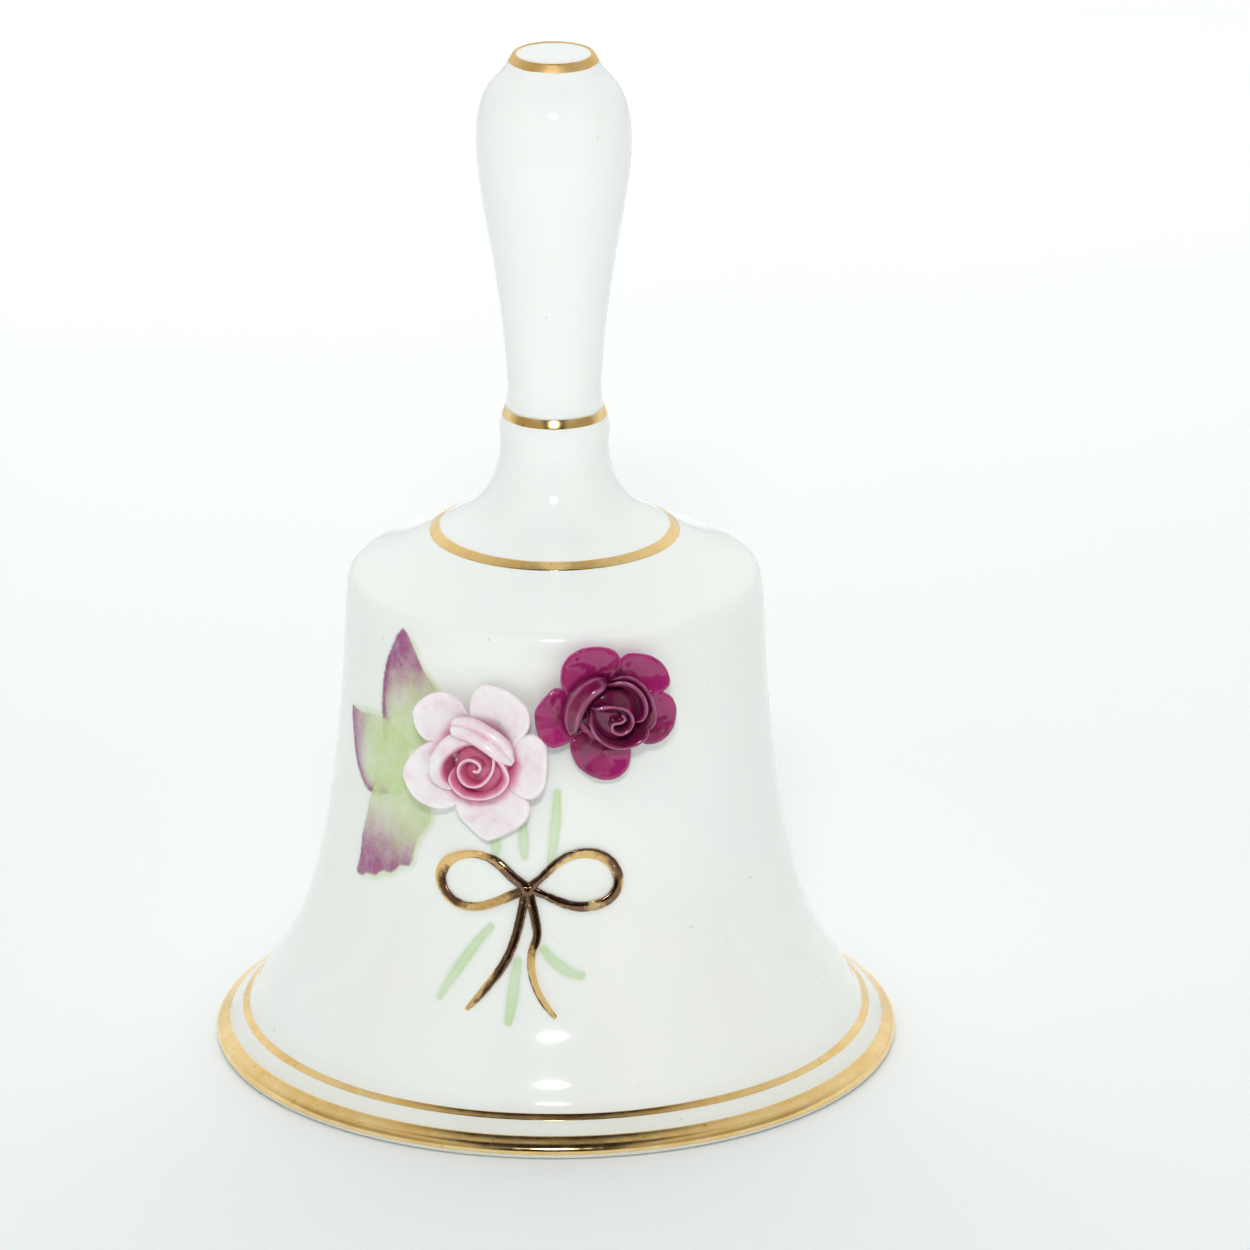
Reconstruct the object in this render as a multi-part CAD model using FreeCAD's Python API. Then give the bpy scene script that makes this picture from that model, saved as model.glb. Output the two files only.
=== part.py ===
"""Porcelain table bell with two applied roses, a gilded bow and a hanging clapper.

Frame: millimetres, +Z up, origin at the centre of the rim's underside, front of the bell towards -Y.
Each function returns one physical piece, and write_parts() saves each piece as parts/NODE.step.
"""
import FreeCAD
import Part
import math
import os

V = FreeCAD.Vector
UP = V(0, 0, 1)

# ---- driving dimensions (mm) -------------------------------------------------------------------
RIM_RADIUS = 38.1            # widest radius, at the lip: a rim three inches across
LIP_ROUND = 0.9              # radius of the rounded lip
FOOT_WIDTH = 1.3             # flat ring under the lip that the bell stands on
WALL = 2.2                   # thickness of the cast wall
COLLAR_TOP = 74.0            # height of the joint between bell and handle
HANDLE_TOP = 114.2           # full height
NECK_BORE = 3.4              # radius of the hole up through the neck
BORE_START = 66.5            # height where the inside narrows to the bore
HANDLE_WALL = 2.0
HANDLE_DISH = 0.4            # the top of the handle sinks this far in the middle
DISH_FLAT = 1.5              # radius of the flat middle of that dish
SEAT_GAP = 0.05              # gap round pieces that are cemented into a hole

# (radius, height) points of the outside, from the top of the lip to the joint with the handle
FLARE = [(36.6, 2.3), (35.3, 3.4), (34.35, 4.0), (33.15, 5.95), (31.8, 8.25), (30.0, 11.1), (28.4, 14.55),
         (27.05, 18.8), (25.75, 24.5), (24.7, 31.5), (23.85, 39.5), (23.4, 46.5), (23.2, 51.3)]
SHOULDER = [(23.0, 53.6), (22.6, 54.85), (21.3, 55.65), (19.3, 56.5), (16.6, 57.85), (13.9, 59.45),
            (11.65, 60.75), (9.3, 62.3), (7.1, 65.2)]
COLLAR = [(6.1, 68.4), (6.0, 70.0), (6.1, 71.6), (5.85, 73.0), (5.4, COLLAR_TOP)]
HANDLE = [(5.2, 75.6), (5.28, 78.4), (5.72, 83.4), (6.36, 88.4), (7.32, 94.4), (8.28, 100.4), (8.53, 105.4),
          (8.08, 108.4), (6.76, 110.95), (5.45, 112.45), (4.95, 113.3), (4.4, HANDLE_TOP)]

# clapper
WIRE = 0.6                   # radius of the brass wire
WIRE_GAP = 0.1               # running clearance between a wire and the loop round it
LOOP = 2 * WIRE + WIRE_GAP   # centre-line radius of a wire loop round another wire
EYE_BAR_Z = 56.5             # hinge line of the link, along X
LINK_BAR_Z = 52.5            # hinge line of the clapper, along Y
EYE_HALF_WIDTH = 2.4
EYE_HEIGHT = 4.2
EYE_CORNER = 1.2
LINK_CORNER = 0.65
SHANK_TOP = 68.5             # the eye's shank ends here, inside the plug
PLUG_BOTTOM = 64.0
PLUG_TOP = 69.5
SPIGOT_BOTTOM = 70.3
BALL_RADIUS = 6.0
BALL_Z = 17.0
BALL_BORE = 0.75
BALL_FLAT = 5.6              # distance from the ball's centre to the flat under it
HEAD_RADIUS = 1.4            # peened end of the wire, under the ball
HEAD_HEIGHT = 0.7

# roses: where each stands on the bell (degrees round from the front, height), and its petals
PETAL_THICK = 0.7
CUP_RADIUS = 9.0
OUTER_LENGTH = 5.2
OUTER_WIDTH = 5.4
OUTER_PITCH = 10.0           # degrees that a petal's tip rises
OUTER_ROLL = 8.0             # degrees that one side of a petal rises over its neighbour
OUTER_LIFT = 1.4             # height of a petal's centre over the bell's surface
PAD_RADIUS = 3.4
PAD_TOP = 1.6
INNER_BASE = 2.7             # outer radius of the inner petals, at the foot and at the top
INNER_FLARE = 3.9
INNER_FOOT = 1.2
INNER_TOP = 4.6
INNER_THICK = 0.6
INNER_COUNT = 3
INNER_SPAN = 108.0
BUD_RADIUS = 1.9
BUD_FOOT = 1.1
BUD_TOP = 4.9
BUD_ROUND = 0.8
ROSES = {
    "pink_rose": {"turn": -19.4, "height": 41.0, "reach": 5.5, "petals": [65, 134, 194, 295, 357]},
    "crimson_rose": {"turn": 13.4, "height": 47.0, "reach": 5.5, "petals": [46, 112, 180, 256, 344]},
}

# bow: (x, z) points of each strand's centre line, seen from the front
BOW_WIDTH = 0.9
BOW_RELIEF = 0.45            # height of the strands over the bell's surface
KNOT = (-2.83, 26.85)
KNOT_RADIUS = 1.1
BOW = {
    "bow_loop_left": [(-3.9, 27.6), (-6.2, 29.65), (-8.4, 30.35), (-10.7, 29.8), (-12.65, 27.2),
                      (-11.4, 24.7), (-9.0, 24.1), (-6.45, 25.1), (-3.9, 26.4)],
    "bow_loop_right": [(-1.85, 27.7), (0.45, 30.15), (2.0, 30.9), (3.85, 31.0), (5.9, 30.15), (7.25, 27.5),
                       (5.9, 25.1), (3.2, 24.6), (0.65, 25.35), (-1.85, 26.45)],
    "bow_tail_left": [(-3.3, 25.95), (-3.8, 22.95), (-4.9, 19.35), (-6.9, 16.6), (-9.65, 13.35)],
    "bow_tail_right": [(-2.4, 25.95), (-1.8, 22.4), (-2.4, 19.5), (-2.2, 16.9), (-0.8, 14.15), (0.3, 13.05)],
}


# ---- helpers -----------------------------------------------------------------------------------
def at(radius, height):
    """A point of a profile, in the XZ plane."""
    return V(radius, 0, height)


def line(a, b):
    return Part.LineSegment(a, b).toShape()


def arc(a, b, c):
    return Part.Arc(a, b, c).toShape()


def curve(points):
    """A smooth curve through points."""
    spline = Part.BSplineCurve()
    spline.interpolate(points)
    return spline.toShape()


def revolve(edges):
    """The solid that a closed profile in the XZ plane sweeps round the Z axis."""
    face = Part.Face(Part.Wire(Part.__sortEdges__(edges)))
    solid = face.revolve(V(0, 0, 0), UP, 360)
    return Part.Solid(solid.Shells[0]) if solid.ShapeType != "Solid" else solid


def inset(points, depth):
    """Points moved inwards, square to the outline that runs through them (end points left out)."""
    shifted = []
    for before, here, after in zip(points, points[1:], points[2:]):
        along = V(after[0] - before[0], 0, after[1] - before[1]).normalize()
        shifted.append((here[0] - depth * along.z, here[1] + depth * along.x))
    return shifted


def spaced(points, gap):
    """The points that stand at least gap from the one kept before, so that their inset has no kink."""
    kept = [points[0]]
    for point in points[1:]:
        if math.dist(point, kept[-1]) >= gap:
            kept.append(point)
    return kept


def rod(start, end, radius):
    return Part.makeCylinder(radius, (end - start).Length, start, end - start)


def wire_run(edges, radius):
    """A round wire that follows a chain of straight and curved edges."""
    runs = []
    for edge in edges:
        start = edge.valueAt(edge.FirstParameter)
        ring = Part.Wire(Part.makeCircle(radius, start, edge.tangentAt(edge.FirstParameter)))
        shell = Part.Wire(edge).makePipeShell([ring], True, False)
        runs.append(shell)
    return runs[0].multiFuse(runs[1:]).removeSplitter()


def one_solid(shape):
    """The largest solid of a boolean result, without crumbs."""
    return max(shape.Solids, key=lambda solid: solid.Volume)


# ---- porcelain body and handle -----------------------------------------------------------------
def lip_points():
    """The lip's round: under it, at its widest, and where the flare begins."""
    centre_r = RIM_RADIUS - LIP_ROUND
    end = math.radians(65)
    top = (centre_r + LIP_ROUND * math.cos(end), LIP_ROUND + LIP_ROUND * math.sin(end))
    return at(centre_r, 0), at(RIM_RADIUS, LIP_ROUND), at(*top)


def outside_points():
    return FLARE + SHOULDER + COLLAR


def bell_outside(relief=0.0):
    """Outer edges of the bell, from the foot to the collar, pushed out by relief."""
    low, wide, top = lip_points()
    points = [(top.x, top.z)] + outside_points()
    if relief:
        points = inset(points, -relief)
        return [curve([at(*p) for p in points])]
    return [arc(low, wide, top), curve([at(*p) for p in points])]


def bell_blank(relief=0.0):
    """The bell filled solid. Raised work is cut back to it so that both meet face to face."""
    edges = bell_outside(relief)
    first = min((e.Vertexes[0].Point for e in edges), key=lambda p: p.z)
    last = max((e.Vertexes[-1].Point for e in edges), key=lambda p: p.z)
    edges += [line(at(0, first.z), first), line(last, at(0, last.z)), line(at(0, last.z), at(0, first.z))]
    return revolve(edges)


def bell_body():
    low = lip_points()[0]
    foot_inner = at(low.x - FOOT_WIDTH, 0)
    inner = [p for p in inset(spaced(outside_points(), WALL), WALL) if p[1] < BORE_START - WALL]
    crown = at(NECK_BORE, BORE_START)
    top_inner = at(NECK_BORE, COLLAR_TOP)
    edges = bell_outside()
    edges += [line(low, foot_inner)]
    edges += [curve([foot_inner] + [at(*p) for p in inner] + [crown])]
    edges += [line(crown, top_inner), line(top_inner, at(*COLLAR[-1]))]
    return revolve(edges)


def handle():
    """Hollow cast handle. Its spigot sits in the collar."""
    foot = at(COLLAR[-1][0], COLLAR_TOP)
    spigot = NECK_BORE - SEAT_GAP
    rim = at(*HANDLE[-1])
    dish = HANDLE_TOP - HANDLE_DISH
    dish_side = arc(rim, at((rim.x + DISH_FLAT) / 2, dish + HANDLE_DISH / 4), at(DISH_FLAT, dish))
    outside = [line(at(0, SPIGOT_BOTTOM), at(spigot, SPIGOT_BOTTOM))]
    outside += [line(at(spigot, SPIGOT_BOTTOM), at(spigot, COLLAR_TOP)), line(at(spigot, COLLAR_TOP), foot)]
    outside += [curve([foot] + [at(*p) for p in HANDLE])]
    outside += [dish_side, line(at(DISH_FLAT, dish), at(0, dish)), line(at(0, dish), at(0, SPIGOT_BOTTOM))]
    hollow = [p for p in inset(HANDLE, HANDLE_WALL) if p[1] < HANDLE_TOP - 2 * HANDLE_WALL]
    low = at(0, hollow[0][1])
    high = at(0, dish - HANDLE_WALL)
    inside = [line(low, at(*hollow[0])), curve([at(*p) for p in hollow] + [high]), line(high, low)]
    return revolve(outside).cut(revolve(inside))


def crown_plug():
    """Cement that holds the eye's shank in the neck."""
    plug = rod(at(0, PLUG_BOTTOM), at(0, PLUG_TOP), NECK_BORE - SEAT_GAP)
    return plug.cut(rod(at(0, PLUG_BOTTOM), at(0, SHANK_TOP), WIRE))


# ---- clapper -----------------------------------------------------------------------------------
def clapper_eye():
    """Wire stirrup in the XZ plane, with a straight bar that the link hangs on."""
    low = EYE_BAR_Z
    high = EYE_BAR_Z + EYE_HEIGHT
    wide = EYE_HALF_WIDTH
    corner = EYE_CORNER
    nook = corner * (1 - math.sqrt(0.5))
    right = [arc(at(wide - corner, low), at(wide - nook, low + nook), at(wide, low + corner)),
             line(at(wide, low + corner), at(wide, high - corner)),
             arc(at(wide, high - corner), at(wide - nook, high - nook), at(wide - corner, high))]
    top = line(at(wide - corner, high), at(corner - wide, high))
    left = [arc(at(corner - wide, high), at(nook - wide, high - nook), at(-wide, high - corner)),
            line(at(-wide, high - corner), at(-wide, low + corner)),
            arc(at(-wide, low + corner), at(nook - wide, low + nook), at(corner - wide, low))]
    bar = line(at(corner - wide, low), at(wide - corner, low))
    stirrup = wire_run([bar] + right + [top] + left, WIRE)
    return stirrup.fuse(rod(at(0, high), at(0, SHANK_TOP), WIRE)).removeSplitter()


def clapper_link():
    """Wire link in the YZ plane: round at the top about the eye's bar, with a straight bar below."""
    def spot(y, z):
        return V(0, y, z)
    corner = LINK_CORNER
    nook = corner * (1 - math.sqrt(0.5))
    low = LINK_BAR_Z
    edges = [arc(spot(LOOP, EYE_BAR_Z), spot(0, EYE_BAR_Z + LOOP), spot(-LOOP, EYE_BAR_Z)),
             line(spot(-LOOP, EYE_BAR_Z), spot(-LOOP, low + corner)),
             arc(spot(-LOOP, low + corner), spot(nook - LOOP, low + nook), spot(corner - LOOP, low)),
             line(spot(corner - LOOP, low), spot(LOOP - corner, low)),
             arc(spot(LOOP - corner, low), spot(LOOP - nook, low + nook), spot(LOOP, low + corner)),
             line(spot(LOOP, low + corner), spot(LOOP, EYE_BAR_Z))]
    return wire_run(edges, WIRE)


def clapper_wire():
    """Wire with a ring round the link's bar at its top and a peened head under the ball."""
    ring = Part.makeTorus(LOOP, WIRE, at(0, LINK_BAR_Z), V(0, 1, 0))
    head_top = BALL_Z - BALL_FLAT
    shank = rod(at(0, head_top), at(0, LINK_BAR_Z - LOOP), WIRE)
    head = Part.makeCylinder(HEAD_RADIUS, HEAD_HEIGHT, at(0, head_top - HEAD_HEIGHT))
    return ring.fuse([shank, head]).removeSplitter()


def clapper_ball():
    ball = Part.makeSphere(BALL_RADIUS, at(0, BALL_Z))
    below = Part.makeCylinder(BALL_RADIUS, BALL_RADIUS, at(0, BALL_Z - BALL_FLAT - BALL_RADIUS))
    bore = Part.makeCylinder(BALL_BORE, 2 * BALL_RADIUS, at(0, BALL_Z - BALL_RADIUS))
    return ball.cut(below).cut(bore)


# ---- roses -------------------------------------------------------------------------------------
def surface_radius(height):
    """Outer radius of the bell at a height, from the straight run between its outline points."""
    points = outside_points()
    for low, high in zip(points, points[1:]):
        if low[1] <= height <= high[1]:
            part = (height - low[1]) / (high[1] - low[1])
            return low[0] + part * (high[0] - low[0])
    raise ValueError("height is off the outline")


def surface_frame(turn, height):
    """Placement on the bell's surface: local X to the right, local Y up the wall, local Z outwards."""
    step = 1.0
    lean = (surface_radius(height - step) - surface_radius(height + step)) / (2 * step)
    angle = math.radians(turn)
    out_flat = V(math.sin(angle), -math.cos(angle), 0)
    right = V(math.cos(angle), math.sin(angle), 0)
    outward = (out_flat + UP * lean).normalize()
    upward = outward.cross(right)
    place = out_flat * surface_radius(height) + UP * height
    return FreeCAD.Placement(place, FreeCAD.Rotation(right, upward, outward, "ZXY"))


def turned(axis, degrees):
    return FreeCAD.Placement(V(0, 0, 0), FreeCAD.Rotation(axis, degrees))


def moved(x, y, z):
    return FreeCAD.Placement(V(x, y, z), FreeCAD.Rotation())


def outer_petal(frame, direction, reach):
    """A thin cupped petal that leans out from the middle of the rose."""
    centre = V(0, 0, CUP_RADIUS)
    cup = Part.makeSphere(CUP_RADIUS + PETAL_THICK, centre).cut(Part.makeSphere(CUP_RADIUS, centre))
    outline = Part.Face(Part.Wire(Part.Ellipse(V(0, 0, 0), OUTER_WIDTH / 2, OUTER_LENGTH / 2).toShape()))
    outline.Placement = moved(0, 0, -PETAL_THICK)
    petal = cup.common(outline.extrude(UP * CUP_RADIUS / 2))
    lean = turned(V(0, 1, 0), -OUTER_PITCH).multiply(turned(V(1, 0, 0), OUTER_ROLL))
    quarter = turned(UP, 90)
    place = frame.multiply(turned(UP, direction)).multiply(moved(reach, 0, OUTER_LIFT))
    petal.Placement = place.multiply(lean).multiply(quarter)
    return one_solid(petal)


def inner_petal(frame, direction):
    """One of the flared walls that stand round the bud."""
    foot_r = INNER_BASE
    top_r = INNER_FLARE
    section = [V(foot_r - INNER_THICK, 0, INNER_FOOT), V(foot_r, 0, INNER_FOOT),
               V(top_r, 0, INNER_TOP), V(top_r - INNER_THICK, 0, INNER_TOP)]
    face = Part.Face(Part.makePolygon(section + section[:1]))
    petal = face.revolve(V(0, 0, 0), UP, INNER_SPAN)
    petal.Placement = frame.multiply(turned(UP, direction))
    return petal


def bud(frame):
    shape = Part.makeCylinder(BUD_RADIUS, BUD_TOP - BUD_FOOT, V(0, 0, BUD_FOOT))
    rim = [e for e in shape.Edges if abs(e.BoundBox.ZMin - BUD_TOP) < BUD_ROUND and e.BoundBox.ZLength < BUD_ROUND]
    shape = shape.makeFillet(BUD_ROUND, rim)
    shape.Placement = frame
    return shape


def rose(name, spec, blank):
    """All pieces of one rose. The pad is squeezed round the petals' feet and onto the bell."""
    frame = surface_frame(spec["turn"], spec["height"])
    pieces = {}
    for number, direction in enumerate(spec["petals"], start=1):
        pieces[f"{name}_petal_{number}"] = outer_petal(frame.copy(), direction, spec["reach"])
    for number in range(INNER_COUNT):
        direction = spec["petals"][0] + number * 360 / INNER_COUNT
        pieces[f"{name}_inner_petal_{number + 1}"] = inner_petal(frame.copy(), direction)
    pieces[f"{name}_bud"] = bud(frame.copy())
    pad = Part.makeCylinder(PAD_RADIUS, PAD_TOP + 1, V(0, 0, -1))
    pad.Placement = frame
    pad = pad.cut(blank).cut(list(pieces.values()))
    pieces[f"{name}_pad"] = one_solid(pad)
    return pieces


# ---- bow ---------------------------------------------------------------------------------------
def strand_outline(points):
    """The flat outline of a strand, seen from the front."""
    middle = Part.BSplineCurve()
    middle.interpolate([at(*p) for p in points])
    count = 3 * len(points)
    first, last = middle.FirstParameter, middle.LastParameter
    sides = ([], [])
    for step in range(count + 1):
        where = first + (last - first) * step / count
        along = V(*middle.tangent(where)[0])
        across = V(along.z, 0, -along.x).normalize() * (BOW_WIDTH / 2)
        sides[0].append(middle.value(where) + across)
        sides[1].append(middle.value(where) - across)
    ends = [line(sides[0][0], sides[1][0]), line(sides[0][-1], sides[1][-1])]
    edges = [curve(sides[0]), curve(sides[1])] + ends
    return Part.Face(Part.Wire(Part.__sortEdges__(edges)))


def bow(blank, raised):
    """Gilded strands of clay laid on the bell's front."""
    towards_front = V(0, -RIM_RADIUS, 0)
    disc = Part.Face(Part.Wire(Part.makeCircle(KNOT_RADIUS, at(*KNOT), V(0, 1, 0))))
    pieces = {"bow_knot": disc.extrude(towards_front)}
    for name, points in BOW.items():
        strand = strand_outline(points).extrude(towards_front)
        pieces[name] = strand.cut(list(pieces.values()))
    skin = raised.cut(blank)
    return {name: one_solid(column.common(skin)) for name, column in pieces.items()}


# ---- all pieces --------------------------------------------------------------------------------
def build():
    blank = bell_blank()
    raised = bell_blank(BOW_RELIEF)
    pieces = {"bell_body": bell_body(), "handle": handle(), "crown_plug": crown_plug(),
              "clapper_eye": clapper_eye(), "clapper_link": clapper_link(),
              "clapper_wire": clapper_wire(), "clapper_ball": clapper_ball()}
    for name, spec in ROSES.items():
        pieces.update(rose(name, spec, blank))
    pieces.update(bow(blank, raised))
    return pieces


def write_parts():
    os.makedirs("parts", exist_ok=True)
    for name, shape in build().items():
        one_solid(shape).exportStep(f"parts/{name}.step")
        print(name, round(shape.Volume, 2), shape.isValid())


write_parts()
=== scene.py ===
"""Looks of the porcelain table bell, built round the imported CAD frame.

Lengths in the tables are millimetres in the CAD frame: +Z up, the decorated front towards -Y.
A place on the bell's wall is given as (turn, height): degrees round from the front, and millimetres up.
"""

import math

import bmesh
import bpy
import numpy as np
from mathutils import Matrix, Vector, noise


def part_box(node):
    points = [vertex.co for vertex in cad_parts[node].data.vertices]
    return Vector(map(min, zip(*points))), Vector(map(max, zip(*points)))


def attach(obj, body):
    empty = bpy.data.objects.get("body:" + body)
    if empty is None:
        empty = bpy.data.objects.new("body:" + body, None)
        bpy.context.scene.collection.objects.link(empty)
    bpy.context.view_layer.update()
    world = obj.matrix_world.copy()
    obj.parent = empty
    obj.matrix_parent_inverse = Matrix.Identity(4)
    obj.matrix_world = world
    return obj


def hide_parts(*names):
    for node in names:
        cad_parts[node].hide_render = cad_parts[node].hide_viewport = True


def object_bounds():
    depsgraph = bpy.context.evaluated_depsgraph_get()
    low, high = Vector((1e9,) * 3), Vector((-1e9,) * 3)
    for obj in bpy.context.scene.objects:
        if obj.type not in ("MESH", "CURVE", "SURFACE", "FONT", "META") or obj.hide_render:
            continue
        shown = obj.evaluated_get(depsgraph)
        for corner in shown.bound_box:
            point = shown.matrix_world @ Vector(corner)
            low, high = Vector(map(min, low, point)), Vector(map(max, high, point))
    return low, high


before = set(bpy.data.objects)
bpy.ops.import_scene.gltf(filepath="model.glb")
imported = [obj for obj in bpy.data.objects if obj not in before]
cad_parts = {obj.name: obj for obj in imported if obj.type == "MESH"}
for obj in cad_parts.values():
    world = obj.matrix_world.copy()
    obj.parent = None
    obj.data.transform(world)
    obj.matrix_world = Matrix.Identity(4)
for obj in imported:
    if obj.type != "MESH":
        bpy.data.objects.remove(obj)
cad_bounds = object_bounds()

MM = 0.001

# ---- outline of the bell (radius, height), as in the CAD source --------------------------------
RIM_RADIUS = 38.1
LIP_ROUND = 0.9
FOOT_WIDTH = 1.3
WALL = 2.2
NECK_BORE = 3.4
BORE_START = 66.5
COLLAR_TOP = 74.0
HANDLE_TOP = 114.2
SPIGOT_BOTTOM = 70.3        # the handle's plug that sits in the neck
SEAT_GAP = 0.05
DISH = 0.4                  # depth of the hollow in the handle's top
FLARE = [(36.6, 2.3), (35.3, 3.4), (34.35, 4.0), (33.15, 5.95), (31.8, 8.25), (30.0, 11.1), (28.4, 14.55),
         (27.05, 18.8), (25.75, 24.5), (24.7, 31.5), (23.85, 39.5), (23.4, 46.5), (23.2, 51.3)]
SHOULDER = [(23.0, 53.6), (22.6, 54.85), (21.3, 55.65), (19.3, 56.5), (16.6, 57.85), (13.9, 59.45),
            (11.65, 60.75), (9.3, 62.3), (7.1, 65.2)]
COLLAR = [(6.1, 68.4), (6.0, 70.0), (6.1, 71.6), (5.85, 73.0), (5.4, COLLAR_TOP)]
OUTLINE = FLARE + SHOULDER + COLLAR
HANDLE = [(5.4, COLLAR_TOP), (5.2, 75.6), (5.28, 78.4), (5.72, 83.4), (6.36, 88.4), (7.32, 94.4),
          (8.28, 100.4), (8.53, 105.4), (8.08, 108.4), (6.76, 110.95), (5.45, 112.45), (4.95, 113.3),
          (4.4, HANDLE_TOP)]
LIP_END = math.radians(65)  # where the round of the lip runs into the flare
ROUND_STEPS = 288           # points round every turned piece


# ---- curves and meshes -------------------------------------------------------------------------
def distances_along(points):
    """Distance from the first point of a polyline to each of its points."""
    return np.concatenate([[0.0], np.cumsum(np.linalg.norm(np.diff(points, axis=0), axis=1))])


def smooth_curve(points, count, closed=False):
    """count points spread evenly along a cubic spline through the given ones."""
    p = np.array(points, float)
    if closed:
        p = np.vstack([p, p[:1]])
    t = distances_along(p)
    h = np.diff(t)
    slope = np.diff(p, axis=0) / h[:, None]
    n = len(p)
    a = np.zeros((n, n))
    b = np.zeros_like(p)
    for i in range(1, n - 1):
        a[i, i - 1:i + 2] = h[i - 1], 2 * (h[i - 1] + h[i]), h[i]
        b[i] = 6 * (slope[i] - slope[i - 1])
    if closed:
        a[0, 0], a[0, 1], a[0, n - 2] = 2 * (h[-1] + h[0]), h[0], h[-1]
        b[0] = 6 * (slope[0] - slope[-1])
        a[n - 1, 0], a[n - 1, n - 1] = 1, -1
    else:
        a[0, 0] = a[n - 1, n - 1] = 1
    bend = np.linalg.solve(a, b)

    def at(where):
        k = np.clip(np.searchsorted(t, where, side="right") - 1, 0, n - 2)
        u, v, w = (t[k + 1] - where)[:, None], (where - t[k])[:, None], h[k][:, None]
        cubic = (bend[k] * u ** 3 + bend[k + 1] * v ** 3) / (6 * w)
        return cubic + (p[k] / w - bend[k] * w / 6) * u + (p[k + 1] / w - bend[k + 1] * w / 6) * v

    fine = at(np.linspace(0, t[-1], 12 * max(count, n)))
    run = distances_along(fine)
    want = np.linspace(0, run[-1], count, endpoint=not closed)
    return np.column_stack([np.interp(want, run, fine[:, c]) for c in range(p.shape[1])])


def smoothstep(value, low, high):
    part = np.clip((value - low) / (high - low), 0, 1)
    return part * part * (3 - 2 * part)


def grain(points, scale, seed):
    """Smooth noise at some points in mm. scale is cells per mm, and seed picks another part of it."""
    places = np.zeros((len(points), 3))
    places[:, :points.shape[1]] = points * scale
    places[:, 2] += seed
    return np.array([noise.noise(Vector(place)) for place in places])


def new_object(name, points, faces, material, values=None, colours=None):
    """A smooth mesh object from points in metres. values and colours become vertex attributes."""
    mesh = bpy.data.meshes.new(name)
    mesh.from_pydata(points.tolist(), [], faces)
    mesh.validate()
    mesh.polygons.foreach_set("use_smooth", [True] * len(mesh.polygons))
    for key, numbers in (values or {}).items():
        layer = mesh.attributes.new(key, "FLOAT", "POINT")
        layer.data.foreach_set("value", np.asarray(numbers, np.float32))
    for key, rows in (colours or {}).items():
        layer = mesh.attributes.new(key, "FLOAT_COLOR", "POINT")
        layer.data.foreach_set("color", np.asarray(rows, np.float32).ravel())
    mesh.materials.append(material)
    thing = bpy.data.objects.new(name, mesh)
    bpy.context.scene.collection.objects.link(thing)
    return thing


def weld(mesh):
    """Merges the doubled points that a pole leaves, and turns every face outwards."""
    work = bmesh.new()
    work.from_mesh(mesh)
    bmesh.ops.remove_doubles(work, verts=work.verts, dist=1e-6)
    bmesh.ops.recalc_face_normals(work, faces=work.faces)
    work.to_mesh(mesh)
    work.free()


def new_piece(name, points, faces, material, slot, replaces=(), welded=False, values=None, colours=None):
    """A piece of the bell's body from points in mm, in place of the CAD nodes in replaces."""
    piece = new_object(name, points * MM, faces, material, values, colours)
    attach(piece, "bell")
    if replaces:
        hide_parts(*replaces)
    if welded:
        weld(piece.data)
    return piece


def grid_faces(rows, columns, rows_meet=False, columns_meet=False):
    """Quads of a grid of points, whose last row or column may meet the first."""
    faces = []
    for i in range(rows if rows_meet else rows - 1):
        up = (i + 1) % rows
        for j in range(columns if columns_meet else columns - 1):
            side = (j + 1) % columns
            faces.append((i * columns + j, i * columns + side, up * columns + side, up * columns + j))
    return faces


def cup_faces(rows, columns):
    """Rings of quads, and one face across the last ring."""
    return grid_faces(rows, columns, columns_meet=True) + [tuple(range((rows - 1) * columns, rows * columns))]


def turned_points(profile, columns=ROUND_STEPS):
    """Points of a profile swept round the Z axis."""
    angle = np.arange(columns) * 2 * math.pi / columns
    radius = profile[:, :1] * np.ones(columns)
    height = profile[:, 1:] * np.ones(columns)
    return np.stack([radius * np.sin(angle), -radius * np.cos(angle), height], axis=-1).reshape(-1, 3)


def lip_arc(count):
    """Outside of the rounded lip, from the foot ring to the start of the flare."""
    turn = np.linspace(-math.pi / 2, LIP_END, count)
    centre = RIM_RADIUS - LIP_ROUND
    return np.column_stack([centre + LIP_ROUND * np.cos(turn), LIP_ROUND + LIP_ROUND * np.sin(turn)])


def inset(points, depth):
    """Points moved inwards, square to the outline that runs through them, without the end points."""
    shifted = []
    for before, here, after in zip(points, points[1:], points[2:]):
        run = Vector((after[0] - before[0], after[1] - before[1])).normalized()
        shifted.append((here[0] - depth * run.y, here[1] + depth * run.x))
    return shifted


def spaced(points, gap):
    """The points that are left when neighbours closer than the gap are dropped."""
    kept = [points[0]]
    for point in points[1:]:
        if math.dist(point, kept[-1]) >= gap:
            kept.append(point)
    return kept


LIP = lip_arc(16)
OUTSIDE = smooth_curve([tuple(LIP[-1])] + OUTLINE, 620)
OUTER = np.vstack([LIP[:-1], OUTSIDE])


def outer_at(height):
    """Radius of the bell's wall at some heights above the lip, and how far its normal points out and up."""
    height = np.asarray(height, float)
    slope = np.gradient(OUTSIDE[:, 0], OUTSIDE[:, 1])
    radius = np.interp(height, OUTSIDE[:, 1], OUTSIDE[:, 0])
    lean = np.interp(height, OUTSIDE[:, 1], slope)
    size = np.sqrt(1 + lean ** 2)
    return radius, 1 / size, -lean / size


def on_wall(turn, height, lift=0.0):
    """Points in mm on the bell's wall, lifted off it along its normal."""
    radius, out, up = outer_at(height)
    angle = np.radians(turn)
    reach = radius + lift * out
    return np.stack([reach * np.sin(angle), -reach * np.cos(angle), height + lift * up], axis=-1)


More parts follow.
